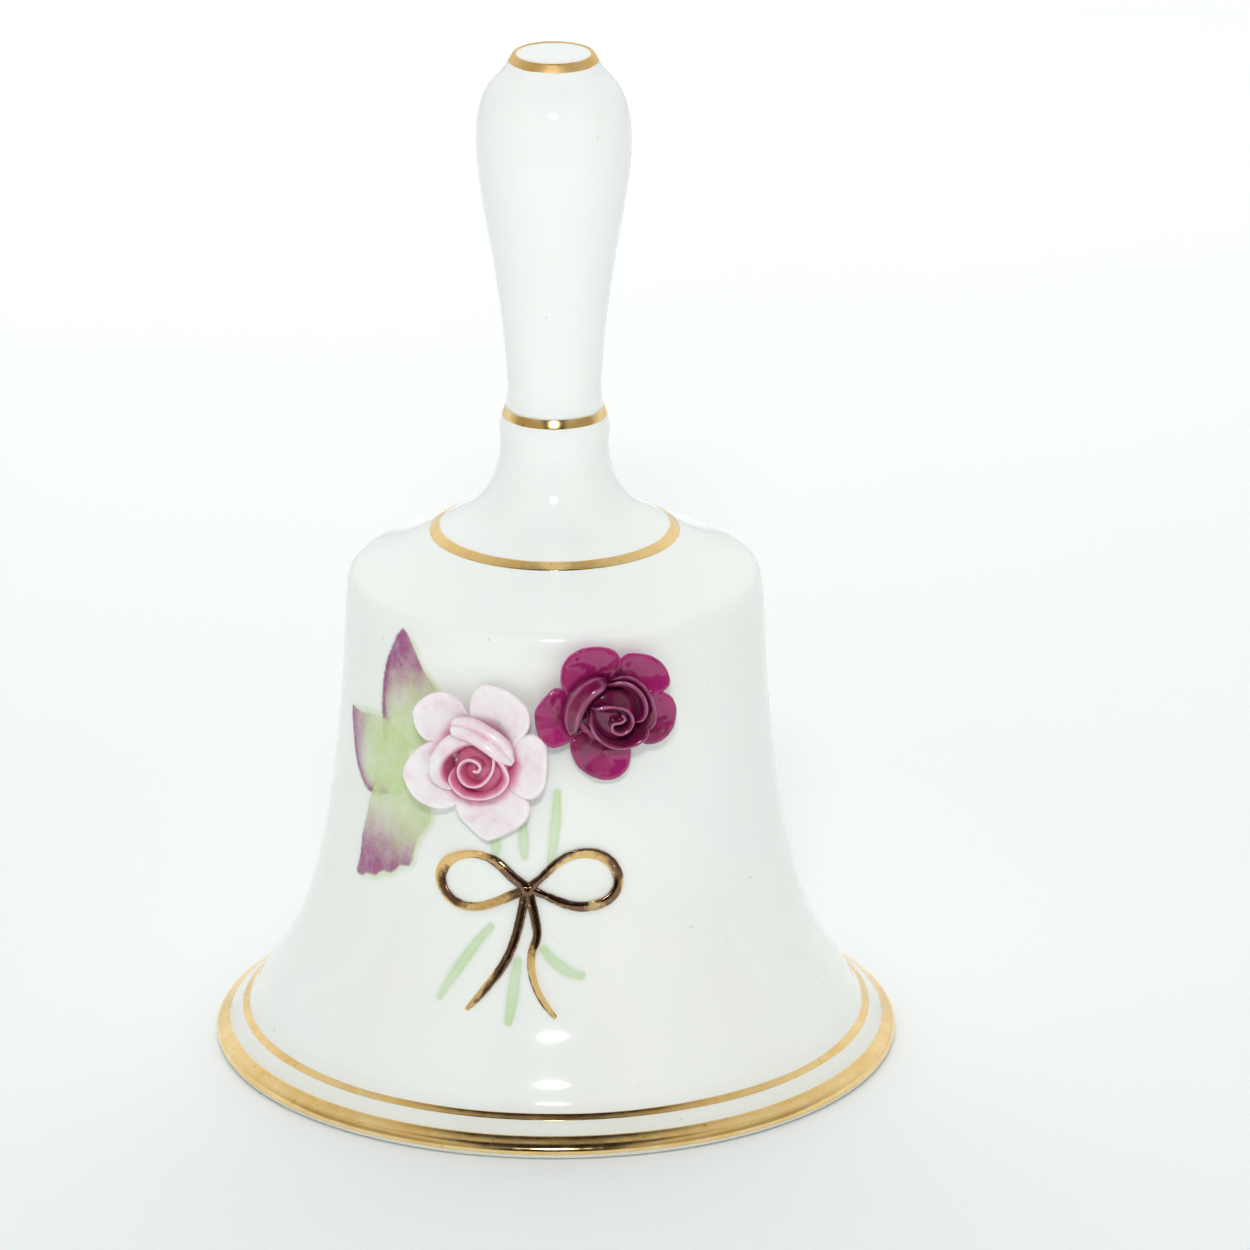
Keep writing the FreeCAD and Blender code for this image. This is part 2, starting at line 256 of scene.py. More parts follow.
def turn_at(across, height):
    """Degrees round from the front of a wall place that is seen this many mm right of the middle."""
    return np.degrees(np.arcsin(across / outer_at(height)[0]))


# ---- shader helpers ----------------------------------------------------------------------------
def srgb(red, green, blue):
    """A display colour out of 255 as linear RGBA."""
    def linear(value):
        value /= 255
        return value / 12.92 if value <= 0.04045 else ((value + 0.055) / 1.055) ** 2.4
    return (linear(red), linear(green), linear(blue), 1.0)


class Nodes:
    """A short way to build a node material."""

    def __init__(self, name):
        self.material = bpy.data.materials.new(name)
        self.material.use_nodes = True
        self.tree = self.material.node_tree
        self.shader = self.tree.nodes["Principled BSDF"]
        self.place = self.add("ShaderNodeTexCoord").outputs["Object"]

    def add(self, kind, **settings):
        node = self.tree.nodes.new(kind)
        for key, value in settings.items():
            setattr(node, key, value)
        return node

    def link(self, source, target):
        self.tree.links.new(source, target)

    def noise(self, scale, detail=3.0, roughness=0.5, stretch=None):
        """Noise over the object's own coordinates. scale is cells per metre."""
        node = self.add("ShaderNodeTexNoise")
        node.inputs["Scale"].default_value = scale
        node.inputs["Detail"].default_value = detail
        node.inputs["Roughness"].default_value = roughness
        source = self.place
        if stretch:
            mapping = self.add("ShaderNodeMapping")
            mapping.inputs["Scale"].default_value = stretch
            self.link(source, mapping.inputs["Vector"])
            source = mapping.outputs["Vector"]
        self.link(source, node.inputs["Vector"])
        return node.outputs["Fac"]

    def ramp(self, source, low, high, start=0.0, end=1.0):
        """source between low and high, mapped to start..end and held at both ends."""
        node = self.add("ShaderNodeMapRange")
        for key, value in (("From Min", low), ("From Max", high), ("To Min", start), ("To Max", end)):
            node.inputs[key].default_value = value
        self.link(source, node.inputs["Value"])
        return node.outputs["Result"]

    def feed(self, socket, value):
        """Gives a socket a constant or another node's output."""
        if isinstance(value, (int, float, tuple)):
            socket.default_value = value
        else:
            self.link(value, socket)

    def maths(self, operation, first, second):
        node = self.add("ShaderNodeMath", operation=operation)
        self.feed(node.inputs[0], first)
        self.feed(node.inputs[1], second)
        return node.outputs[0]

    def mix(self, factor, first, second):
        """A colour between first (factor 0) and second (factor 1)."""
        node = self.add("ShaderNodeMix", data_type="RGBA")
        for number, value in ((0, factor), (6, first), (7, second)):
            self.feed(node.inputs[number], value)
        return node.outputs[2]

    def height(self):
        """How far up the object's own Z axis a point is, in metres."""
        split = self.add("ShaderNodeSeparateXYZ")
        self.link(self.place, split.inputs[0])
        return split.outputs["Z"]

    def attribute(self, name, output="Fac"):
        return self.add("ShaderNodeAttribute", attribute_name=name).outputs[output]

    def bump(self, source, strength, depth, after=None):
        """Adds a bump whose full height is depth metres."""
        node = self.add("ShaderNodeBump")
        node.inputs["Strength"].default_value = strength
        node.inputs["Distance"].default_value = depth
        self.link(source, node.inputs["Height"])
        if after:
            self.link(after, node.inputs["Normal"])
        return node.outputs["Normal"]

    def set(self, **values):
        """Constant values on the shader's own sockets."""
        for key, value in values.items():
            self.shader.inputs[key.replace("_", " ")].default_value = value

    def wire(self, **sources):
        """Other nodes' outputs into the shader's sockets."""
        for key, source in sources.items():
            self.link(source, self.shader.inputs[key.replace("_", " ")])


# ---- materials ---------------------------------------------------------------------------------
CHINA = srgb(245, 249, 245)
CHINA_WARM = srgb(247, 249, 242)
CHINA_PAINTED_LIGHT_TOP = srgb(250, 252, 249)      # painted light: the neck and handle are made whiter, where more light falls
CHINA_PAINTED_SHADE_FOOT = srgb(232, 230, 218)     # and painted shade: the rim is made a little darker and warm, near the floor
CHINA_SPECK = srgb(190, 170, 150)
GOLD = srgb(255, 223, 162)
GOLD_DEEP = srgb(246, 204, 130)
GOLD_THIN = srgb(196, 140, 96)       # where the clay's brown slip shows through
GOLD_DARK_AND_REFLECTION = srgb(132, 104, 84)
GOLD_GLINT = srgb(236, 204, 150)
BRASS = srgb(205, 165, 95)
BRASS_DULL = srgb(140, 105, 60)
CEMENT = srgb(222, 217, 205)
CEMENT_DARK = srgb(196, 190, 176)
PINK = dict(edge=srgb(248, 226, 234), pale=srgb(250, 243, 246), deep=srgb(229, 142, 178),
            fold=srgb(200, 56, 104), blotch=srgb(238, 212, 228), blotch_share=0.14)
CRIMSON = dict(edge=srgb(184, 104, 148), pale=srgb(164, 34, 106), deep=srgb(128, 20, 74),
               fold=srgb(88, 16, 54), blotch=srgb(108, 42, 64), blotch_share=0.70)


def glaze_surface(make, ripple=1.0):
    """Roughness and bump that every glazed piece shares: a slow ripple and a fine orange peel."""
    slow = make.noise(70.0, 2.0)
    fine = make.noise(1500.0, 2.0)
    make.wire(Roughness=make.ramp(make.noise(220.0, 4.0), 0.35, 0.7, 0.07, 0.13))
    normal = make.bump(fine, 0.10, 0.00001 * ripple, make.bump(slow, 0.25, 0.0002 * ripple))
    make.wire(Normal=normal, Coat_Normal=normal)


def china(name, painted=False):
    """White bone china under a clear gloss glaze, with vertex-painted enamel where painted."""
    make = Nodes(name)
    colour = make.mix(make.ramp(make.noise(45.0, 3.0), 0.35, 0.65), CHINA, CHINA_WARM)
    height = make.height()
    # painted light whitens the top and painted shade darkens the foot, by height
    colour = make.mix(make.ramp(height, 0.050, 0.068), colour, CHINA_PAINTED_LIGHT_TOP)
    colour = make.mix(make.ramp(height, 0.001, 0.0055, 1.0, 0.0), colour, CHINA_PAINTED_SHADE_FOOT)
    colour = make.mix(make.ramp(make.noise(900.0, 1.0), 0.78, 0.80, 0.0, 0.25), colour, CHINA_SPECK)
    if painted:
        cloud = make.ramp(make.noise(650.0, 4.0, 0.65), 0.30, 0.70, 0.80, 1.10)
        cover = make.maths("MULTIPLY", make.attribute("paint", "Alpha"), cloud)
        colour = make.mix(make.maths("MINIMUM", cover, 1.0), colour, make.attribute("paint", "Color"))
    make.wire(Base_Color=colour)
    glaze_surface(make)
    make.set(Subsurface_Weight=0.12, Subsurface_Scale=0.002, Coat_Weight=0.15, Coat_Roughness=0.03)
    make.shader.inputs["Subsurface Radius"].default_value = (1.0, 0.9, 0.7)
    return make.material


def gold(name, toned=False, dullness=0.0):
    """Bright gold over the glaze, with brush marks and thin places. If toned, it has dark stretches, partly
    burnished dark gold and partly painted reflection of the dim room, and painted glints.
    """
    make = Nodes(name)
    rough = make.ramp(make.noise(700.0, 5.0, 0.6), 0.30, 0.72, 0.08 + dullness, 0.24 + dullness)
    relief = 2.2 if toned else 1.0
    colour = make.mix(make.ramp(make.noise(300.0, 4.0), 0.35, 0.70), GOLD, GOLD_DEEP)
    colour = make.mix(make.ramp(make.noise(1100.0, 3.0), 0.66, 0.74, 0.0, 0.5), colour, GOLD_THIN)
    if toned:
        uneven = make.ramp(make.noise(900.0, 4.0, 0.65), 0.3, 0.7, -0.28, 0.28)
        # the dark stretches are partly dark gold and partly painted reflection of the dim room
        dark_gold_and_reflection = make.maths("ADD", make.attribute("dark_gold_and_reflection"), uneven)
        colour = make.mix(make.ramp(dark_gold_and_reflection, 0.30, 0.72), colour, GOLD_DARK_AND_REFLECTION)
        # painted glints: small bright specks laid into the colour
        colour = make.mix(make.ramp(make.noise(2300.0, 2.0), 0.64, 0.70, 0.0, 0.7), colour, GOLD_GLINT)
        rough = make.maths("ADD", rough, make.ramp(dark_gold_and_reflection, 0.15, 0.60, 0.36, 0.0))
    slow = make.bump(make.noise(420.0, 2.0), 0.3, 0.00006 * relief)
    streak = make.noise(1800.0, 3.0, 0.6, (0.3, 0.3, 1.0))
    make.wire(Base_Color=colour, Roughness=rough, Normal=make.bump(streak, 0.25, 0.00002 * relief, slow))
    make.set(Metallic=1.0)
    return make.material


def petal_glaze(name, edge, pale, deep, fold, blotch, blotch_share):
    """Tinted petals: pale where the depth attribute is 0, deep at half, darkest in the folds; the deepening
    is partly the petals' own colour, partly painted shade in the folds and under the inner sheets.
    """
    make = Nodes(name)
    cloud = make.ramp(make.noise(500.0, 4.0, 0.6), 0.25, 0.75, -0.12, 0.12)
    shade = make.maths("ADD", make.attribute("tint"), cloud)
    colour = make.mix(make.ramp(shade, 0.0, 0.55), pale, deep)
    colour = make.mix(make.ramp(shade, 0.55, 1.1), colour, fold)
    colour = make.mix(make.ramp(make.noise(330.0, 3.0), 0.52, 0.70, 0.0, blotch_share), colour, blotch)
    make.wire(Base_Color=make.mix(make.attribute("rim"), colour, edge))
    glaze_surface(make, 3.2)
    make.set(Coat_Weight=0.5, Coat_Roughness=0.04, Subsurface_Weight=0.05, Subsurface_Scale=0.001)
    return make.material


def metal_wire(name):
    """Drawn brass wire, slightly dulled."""
    make = Nodes(name)
    make.wire(Base_Color=make.mix(make.ramp(make.noise(400.0, 4.0), 0.4, 0.7), BRASS, BRASS_DULL),
              Roughness=make.ramp(make.noise(900.0, 3.0), 0.3, 0.7, 0.25, 0.45),
              Normal=make.bump(make.noise(2500.0, 3.0, 0.6, (1.0, 1.0, 0.1)), 0.3, 0.00002))
    make.set(Metallic=1.0)
    return make.material


def potters_cement(name):
    """Dull gritty cement."""
    make = Nodes(name)
    grit = make.noise(1400.0, 5.0, 0.7)
    make.wire(Base_Color=make.mix(make.ramp(grit, 0.3, 0.7), CEMENT, CEMENT_DARK),
              Normal=make.bump(grit, 0.7, 0.00015))
    make.set(Roughness=0.85)
    return make.material


china_plain = china("china")
china_painted = china("china_with_enamel", painted=True)
gold_leaf = gold("bright_gold")
gold_worn = gold("worn_gold", dullness=0.34)
gold_ribbon = gold("ribbon_gold", toned=True)
pink_petal = petal_glaze("pink_glaze", **PINK)
crimson_petal = petal_glaze("crimson_glaze", **CRIMSON)
brass = metal_wire("brass_wire")
cement = potters_cement("cement")


# ---- body and handle ---------------------------------------------------------------------------
def bell_shell():
    """The cast bell: outside, collar, bore, inside and foot ring as one closed turned line."""
    low = RIM_RADIUS - LIP_ROUND
    foot = (low - FOOT_WIDTH, 0.0)
    inner = [p for p in inset(spaced(OUTLINE, WALL), WALL) if p[1] < BORE_START - WALL]
    inner_line = smooth_curve([foot] + inner + [(NECK_BORE, BORE_START)], 100)[::-1]
    outer_line = np.vstack([LIP[:-1], smooth_curve([tuple(LIP[-1])] + OUTLINE, 220)])
    top = [(COLLAR[-1][0] - 0.3, COLLAR_TOP), (NECK_BORE + 0.3, COLLAR_TOP), (NECK_BORE, COLLAR_TOP),
           (NECK_BORE, BORE_START + 3)]
    profile = np.vstack([outer_line, top, inner_line[:-1], [foot, (foot[0] + 0.1, 0.0), (low - 0.1, 0.0)]])
    faces = grid_faces(len(profile), ROUND_STEPS, rows_meet=True, columns_meet=True)
    new_piece("bell_shell", turned_points(profile), faces, china_plain, "porcelain", ["bell_body"])


def dish_line(count):
    """The shallow dish in the handle's top, from its rim to the axis."""
    spread = np.linspace(0, 1, count)
    return np.column_stack([HANDLE[-1][0] * (1 - spread), HANDLE_TOP - DISH * (1 - (1 - spread) ** 2)])


def handle_grip():
    """The handle with its plug, turned from a line that starts and ends on the axis."""
    spigot = NECK_BORE - SEAT_GAP
    plug = [(spigot - 0.2, SPIGOT_BOTTOM), (spigot, SPIGOT_BOTTOM + 0.2), (spigot, COLLAR_TOP - 0.1),
            (spigot + 0.1, COLLAR_TOP)]
    dish = dish_line(14)
    ring = np.vstack([plug, smooth_curve(HANDLE, 170), dish[1:-1]])
    points = np.vstack([turned_points(ring), [[0, 0, SPIGOT_BOTTOM], [0, 0, dish[-1, 1]]]])
    faces = grid_faces(len(ring), ROUND_STEPS, columns_meet=True)
    final = (len(ring) - 1) * ROUND_STEPS
    bottom, top = len(points) - 2, len(points) - 1
    for j in range(ROUND_STEPS):
        side = (j + 1) % ROUND_STEPS
        faces.append((bottom, side, j))
        faces.append((final + j, final + side, top))
    new_piece("handle_grip", points, faces, china_plain, "porcelain", ["handle"])


# ---- gilding -----------------------------------------------------------------------------------
GILT_LIFT = 0.03            # height of the gold over the glaze
GILT_SINK = 0.12            # how far its edges reach into the china
GILT_STEPS = 15             # rows across its flat part
HANDLE_LINE = np.vstack([smooth_curve(HANDLE, 400), dish_line(60)[1:]])
# name: (line, first point, last point, unevenness of the edges, material)
BANDS = {
    "rim_band": (OUTER, (38.07, 0.68), (36.5, 2.38), 0.06, gold_leaf),
    "rim_line": (OUTER, (35.15, 3.5), (34.34, 4.0), 0.06, gold_leaf),
    "shoulder_line": (OUTER, (13.9, 59.44), (12.7, 60.12), 0.05, gold_leaf),
    "collar_band": (OUTER, (5.86, 72.95), (5.42, 73.96), 0.04, gold_leaf),
    "handle_band": (HANDLE_LINE, (4.95, 113.3), (4.0, 114.2), 0.06, gold_worn),
}


def gilt_band(name, line, start, end, uneven, material):
    """A thin skin of gold that follows the line between the places nearest to two points."""
    run = distances_along(line)
    first, last = (run[np.argmin(np.linalg.norm(line - point, axis=1))] for point in (start, end))
    slope = np.gradient(line, axis=0)
    slope /= np.linalg.norm(slope, axis=1)[:, None]
    angle = np.arange(ROUND_STEPS) * 2 * math.pi / ROUND_STEPS
    circle = np.column_stack([np.sin(angle), np.cos(angle)])
    low_edge = first + uneven * grain(circle, 3.0, start[1])
    high_edge = last + uneven * grain(circle, 3.0, start[1] + 7.7)
    share = [0.0, 0.03, *np.linspace(0.07, 0.93, GILT_STEPS), 0.97, 1.0]
    lift = [-GILT_SINK, GILT_LIFT * 0.5] + [GILT_LIFT] * GILT_STEPS + [GILT_LIFT * 0.5, -GILT_SINK]
    rings = []
    for part, rise in zip(share, lift):
        where = low_edge + part * (high_edge - low_edge)
        radius = np.interp(where, run, line[:, 0]) + rise * np.interp(where, run, slope[:, 1])
        height = np.interp(where, run, line[:, 1]) - rise * np.interp(where, run, slope[:, 0])
        rings.append(np.stack([radius * np.sin(angle), -radius * np.cos(angle), height], axis=-1))
    faces = grid_faces(len(rings), ROUND_STEPS, rows_meet=True, columns_meet=True)
    new_piece(name, np.vstack(rings), faces, material, "gilding")


# ---- grids, sheets and discs of clay -----------------------------------------------------------
def thicken(grid, thickness, wrap=False, pole=False):
    """Turns a grid of points (rows x columns x 3) into a closed sheet with rounded borders.

    wrap joins the last column to the first. pole says that the first row is one point.
    Returns points and faces: all points of the front, then all points of the back.
    """
    rows, columns, _ = grid.shape
    if wrap:
        side = np.roll(grid, -1, axis=1) - np.roll(grid, 1, axis=1)
    else:
        side = np.gradient(grid, axis=1)
    normal = np.cross(side, np.gradient(grid, axis=0))
    if pole:
        normal[0] = normal[1].mean(axis=0)
    normal /= np.maximum(np.linalg.norm(normal, axis=-1, keepdims=True), 1e-9)
    half = np.full((rows, columns, 1), thickness / 2)
    for k, share in enumerate((0.35, 0.8)):
        thin = thickness / 2 * share
        half[-1 - k] = np.minimum(half[-1 - k], thin)
        if not pole:
            half[k] = np.minimum(half[k], thin)
        if not wrap:
            half[:, k] = np.minimum(half[:, k], thin)
            half[:, -1 - k] = np.minimum(half[:, -1 - k], thin)
    front = (grid + normal * half).reshape(-1, 3)
    back = (grid - normal * half).reshape(-1, 3)
    count = rows * columns
    quads = grid_faces(rows, columns, columns_meet=wrap)
    faces = quads + [tuple(count + v for v in quad[::-1]) for quad in quads]
    border = list(range((rows - 1) * columns, count))
    if wrap:
        border.append(border[0])
    else:
        border += list(range(count - 1, -1, -columns))[1:] + list(range(columns - 1, -1, -1))[1:]
        border += list(range(0, count, columns))[1:]
    for a, b in zip(border, border[1:]):
        faces.append((a, b, count + b, count + a))
    return np.vstack([front, back]), faces


class Spot:
    """Local axes of a flower: X to the right, Y up the wall, Z outwards, origin on the wall."""

    def __init__(self, node, reach):
        low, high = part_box(node)
        middle = (low + high) / 2 / MM
        turn = math.atan2(middle.x, -middle.y)
        _, out, up = (float(part) for part in outer_at(middle.z))
        self.out = Vector((math.sin(turn) * out, -math.cos(turn) * out, up)).normalized()
        self.right = Vector((math.cos(turn), math.sin(turn), 0))
        self.up = self.out.cross(self.right)
        self.origin = middle - self.out * reach

    def place(self, points):
        axes = np.array([self.right, self.up, self.out])
        return np.asarray(points, float) @ axes + np.array(self.origin)


BUD_MIDDLE = 3.0            # height of the CAD bud's middle over the wall
PETAL_THICKNESS = 0.6
SHEET_THICKNESS = 0.42


def outer_petal(name, spot, outline, cup, deep, looks):
    """A cupped petal with thick rolled edges, from its closed outline (local mm)."""
    columns, rows = 96, 24
    seed = sum(map(ord, name)) % 17
    rim = smooth_curve(outline, columns, closed=True)
    middle = rim.mean(axis=0)
    share = np.linspace(0, 1, rows) ** 0.75
    grid = middle + share[:, None, None] * (rim - middle)[None]
    flat = grid[..., :2].reshape(-1, 2)
    ripple = grain(flat, 0.45, 0.45 * seed).reshape(rows, columns)
    crease = grain(flat, 1.3, 1.3 * (seed + 3)).reshape(rows, columns)
    grid[..., 2] -= cup * (1 - share ** 2)[:, None]
    grid[..., 2] += (0.32 * ripple + 0.10 * crease) * share[:, None]
    grid[..., 2] -= 0.16 * smoothstep(share, 0.88, 1.0)[:, None]
    distance = np.hypot(grid[..., 0], grid[..., 1])
    # deeper towards the middle: partly the petals' own colour, partly painted shade under the inner sheets
    tint = deep * (1 - smoothstep(distance, 3.1, 5.8)) + 0.06 * ripple + 0.05 * crease
    glow = smoothstep(share, 0.955, 1.0)[:, None] * smoothstep(distance.max(axis=0), 4.2, 5.4)
    points, faces = thicken(grid, PETAL_THICKNESS, wrap=True, pole=True)
    values = {"tint": np.tile(tint.ravel(), 2), "rim": np.tile(glow.ravel(), 2)}
    new_piece(name, spot.place(points), faces, *looks, [name.replace("outer", "petal")], True, values)


def sheet(kind, part, spot, looks, stands_for, ends, tints, rims, rows):
    """A rolled sheet of clay lofted through paths (local mm), each with its own tint and rim light.

    ends are the shares of its length over which it narrows at its start and its end. stands_for is the
    part of the CAD rose that it replaces, if any.
    """
    name = f"{kind}_{part}"
    replaces = [f"{kind}_{stands_for}"] if stands_for else ()
    across, along = 8 * (len(rows) - 1) + 1, 100
    paths = np.array([smooth_curve(path, along) for path in rows])
    grid = np.stack([smooth_curve(paths[:, j], across) for j in range(along)], axis=1)
    share = np.linspace(0, 1, along)
    full = np.ones(along)
    for end, run in zip(ends, (share, 1 - share)):
        if end:
            full *= np.sin(np.clip(run / end, 0, 1) * math.pi / 2) ** 0.8
    pivot = grid.mean(axis=0)
    grid = pivot + (grid - pivot) * (0.12 + 0.88 * full)[None, :, None]
    grid[..., 2] -= 0.5 * (1 - full)
    where = np.linalg.norm(np.diff(paths, axis=0), axis=-1).mean(axis=1)
    where = np.concatenate([[0.0], np.cumsum(where)])
    reach = np.linspace(0, where[-1], across)
    seed = sum(map(ord, name)) % 13
    ripple = grain(grid.reshape(-1, 3), 0.9, 0.9 * seed).reshape(across, along)
    # deepest at the foot, down inside the rose: partly the petals' own colour, partly painted shade
    tint = np.interp(reach, where, tints)[:, None] + 0.12 * ripple
    glow = sum(light * np.exp(-((reach - place) / 0.12) ** 2) for place, light in zip(where, rims))
    glow = np.clip(glow, 0, 1)[:, None] * np.clip(0.75 + 0.7 * ripple, 0, 1)
    points, faces = thicken(grid, SHEET_THICKNESS)
    values = {"tint": np.tile(tint.ravel(), 2), "rim": np.tile(glow.ravel(), 2)}
    new_piece(name, spot.place(points), faces, *looks, replaces, True, values)


def core(name, spot, centre, looks):
    """The pressed clay in the middle of a rose, seen deep between its sheets."""
    columns, rows = 48, 12
    radius, height, foot = 3.0, 3.6, 1.0
    share = np.linspace(0, 1, rows)[:, None]
    angle = np.linspace(0, 2 * math.pi, columns, endpoint=False)
    reach = share * radius * (1 + 0.05 * np.sin(3 * angle))
    lift = height * (1 - 0.25 * share ** 2) * np.ones(columns)
    lift[-1] = foot
    grid = np.stack([centre[0] + reach * np.cos(angle), centre[1] + reach * np.sin(angle), lift], axis=-1)
    points = grid.reshape(-1, 3)
    # painted shade: the whole core is given a deep, dark colour
    values = {"tint": np.full(len(points), 0.8), "rim": np.zeros(len(points))}
    new_piece(name, spot.place(points), cup_faces(rows, columns), *looks, (), True, values)


# Outlines are local (x, y, height over the wall) round each rose's middle. Each sheet's rows run from its
# foot to its far edge, tints says how deep each row's colour is, partly painted shade, and rims which rows
# show a thin pale edge.
PINK_PETALS = [
    [(0.4, 2.2, 1.5), (-0.8, 5.8, 2.4), (-0.6, 7.5, 2.1), (0.1, 8.5, 1.8), (1.9, 8.75, 1.8),
     (4.3, 7.9, 2.0), (6.0, 6.4, 2.2), (6.15, 4.8, 2.4), (5.2, 3.2, 2.5), (2.4, 1.2, 1.5)],
    [(-0.8, 2.0, 1.4), (-2.8, 1.9, 1.8), (-5.6, 1.6, 1.7), (-7.2, 3.05, 1.8), (-7.4, 5.0, 2.0),
     (-6.2, 6.6, 2.1), (-3.6, 7.5, 2.1), (-2.1, 6.8, 2.1), (-0.9, 5.2, 1.9), (0.2, 2.4, 1.4)],
    [(-1.6, 1.4, 1.3), (-3.8, 1.9, 2.1), (-5.6, 1.6, 2.2), (-7.4, 0.05, 2.2), (-8.35, -1.9, 2.2),
     (-7.8, -3.8, 2.3), (-6.2, -5.3, 2.3), (-4.1, -5.75, 2.2), (-2.5, -5.3, 2.0), (-1.4, -2.6, 1.3)],
    [(-1.0, -2.0, 1.3), (-2.2, -3.9, 1.9), (-2.2, -6.1, 1.7), (-0.8, -7.6, 1.6), (1.1, -8.8, 1.8),
     (3.9, -7.6, 1.7), (5.9, -5.85, 1.8), (6.2, -4.0, 1.9), (4.6, -2.6, 1.7), (2.0, -1.4, 1.3)],
    [(1.8, 1.2, 1.4), (4.4, 2.9, 2.2), (5.7, 3.8, 2.0), (7.3, 3.5, 1.9), (8.15, 1.7, 1.9), (8.1, -0.9, 2.0),
     (7.5, -2.7, 2.2), (6.4, -3.4, 2.3), (4.7, -2.95, 2.3), (2.0, -1.2, 1.4)],
]
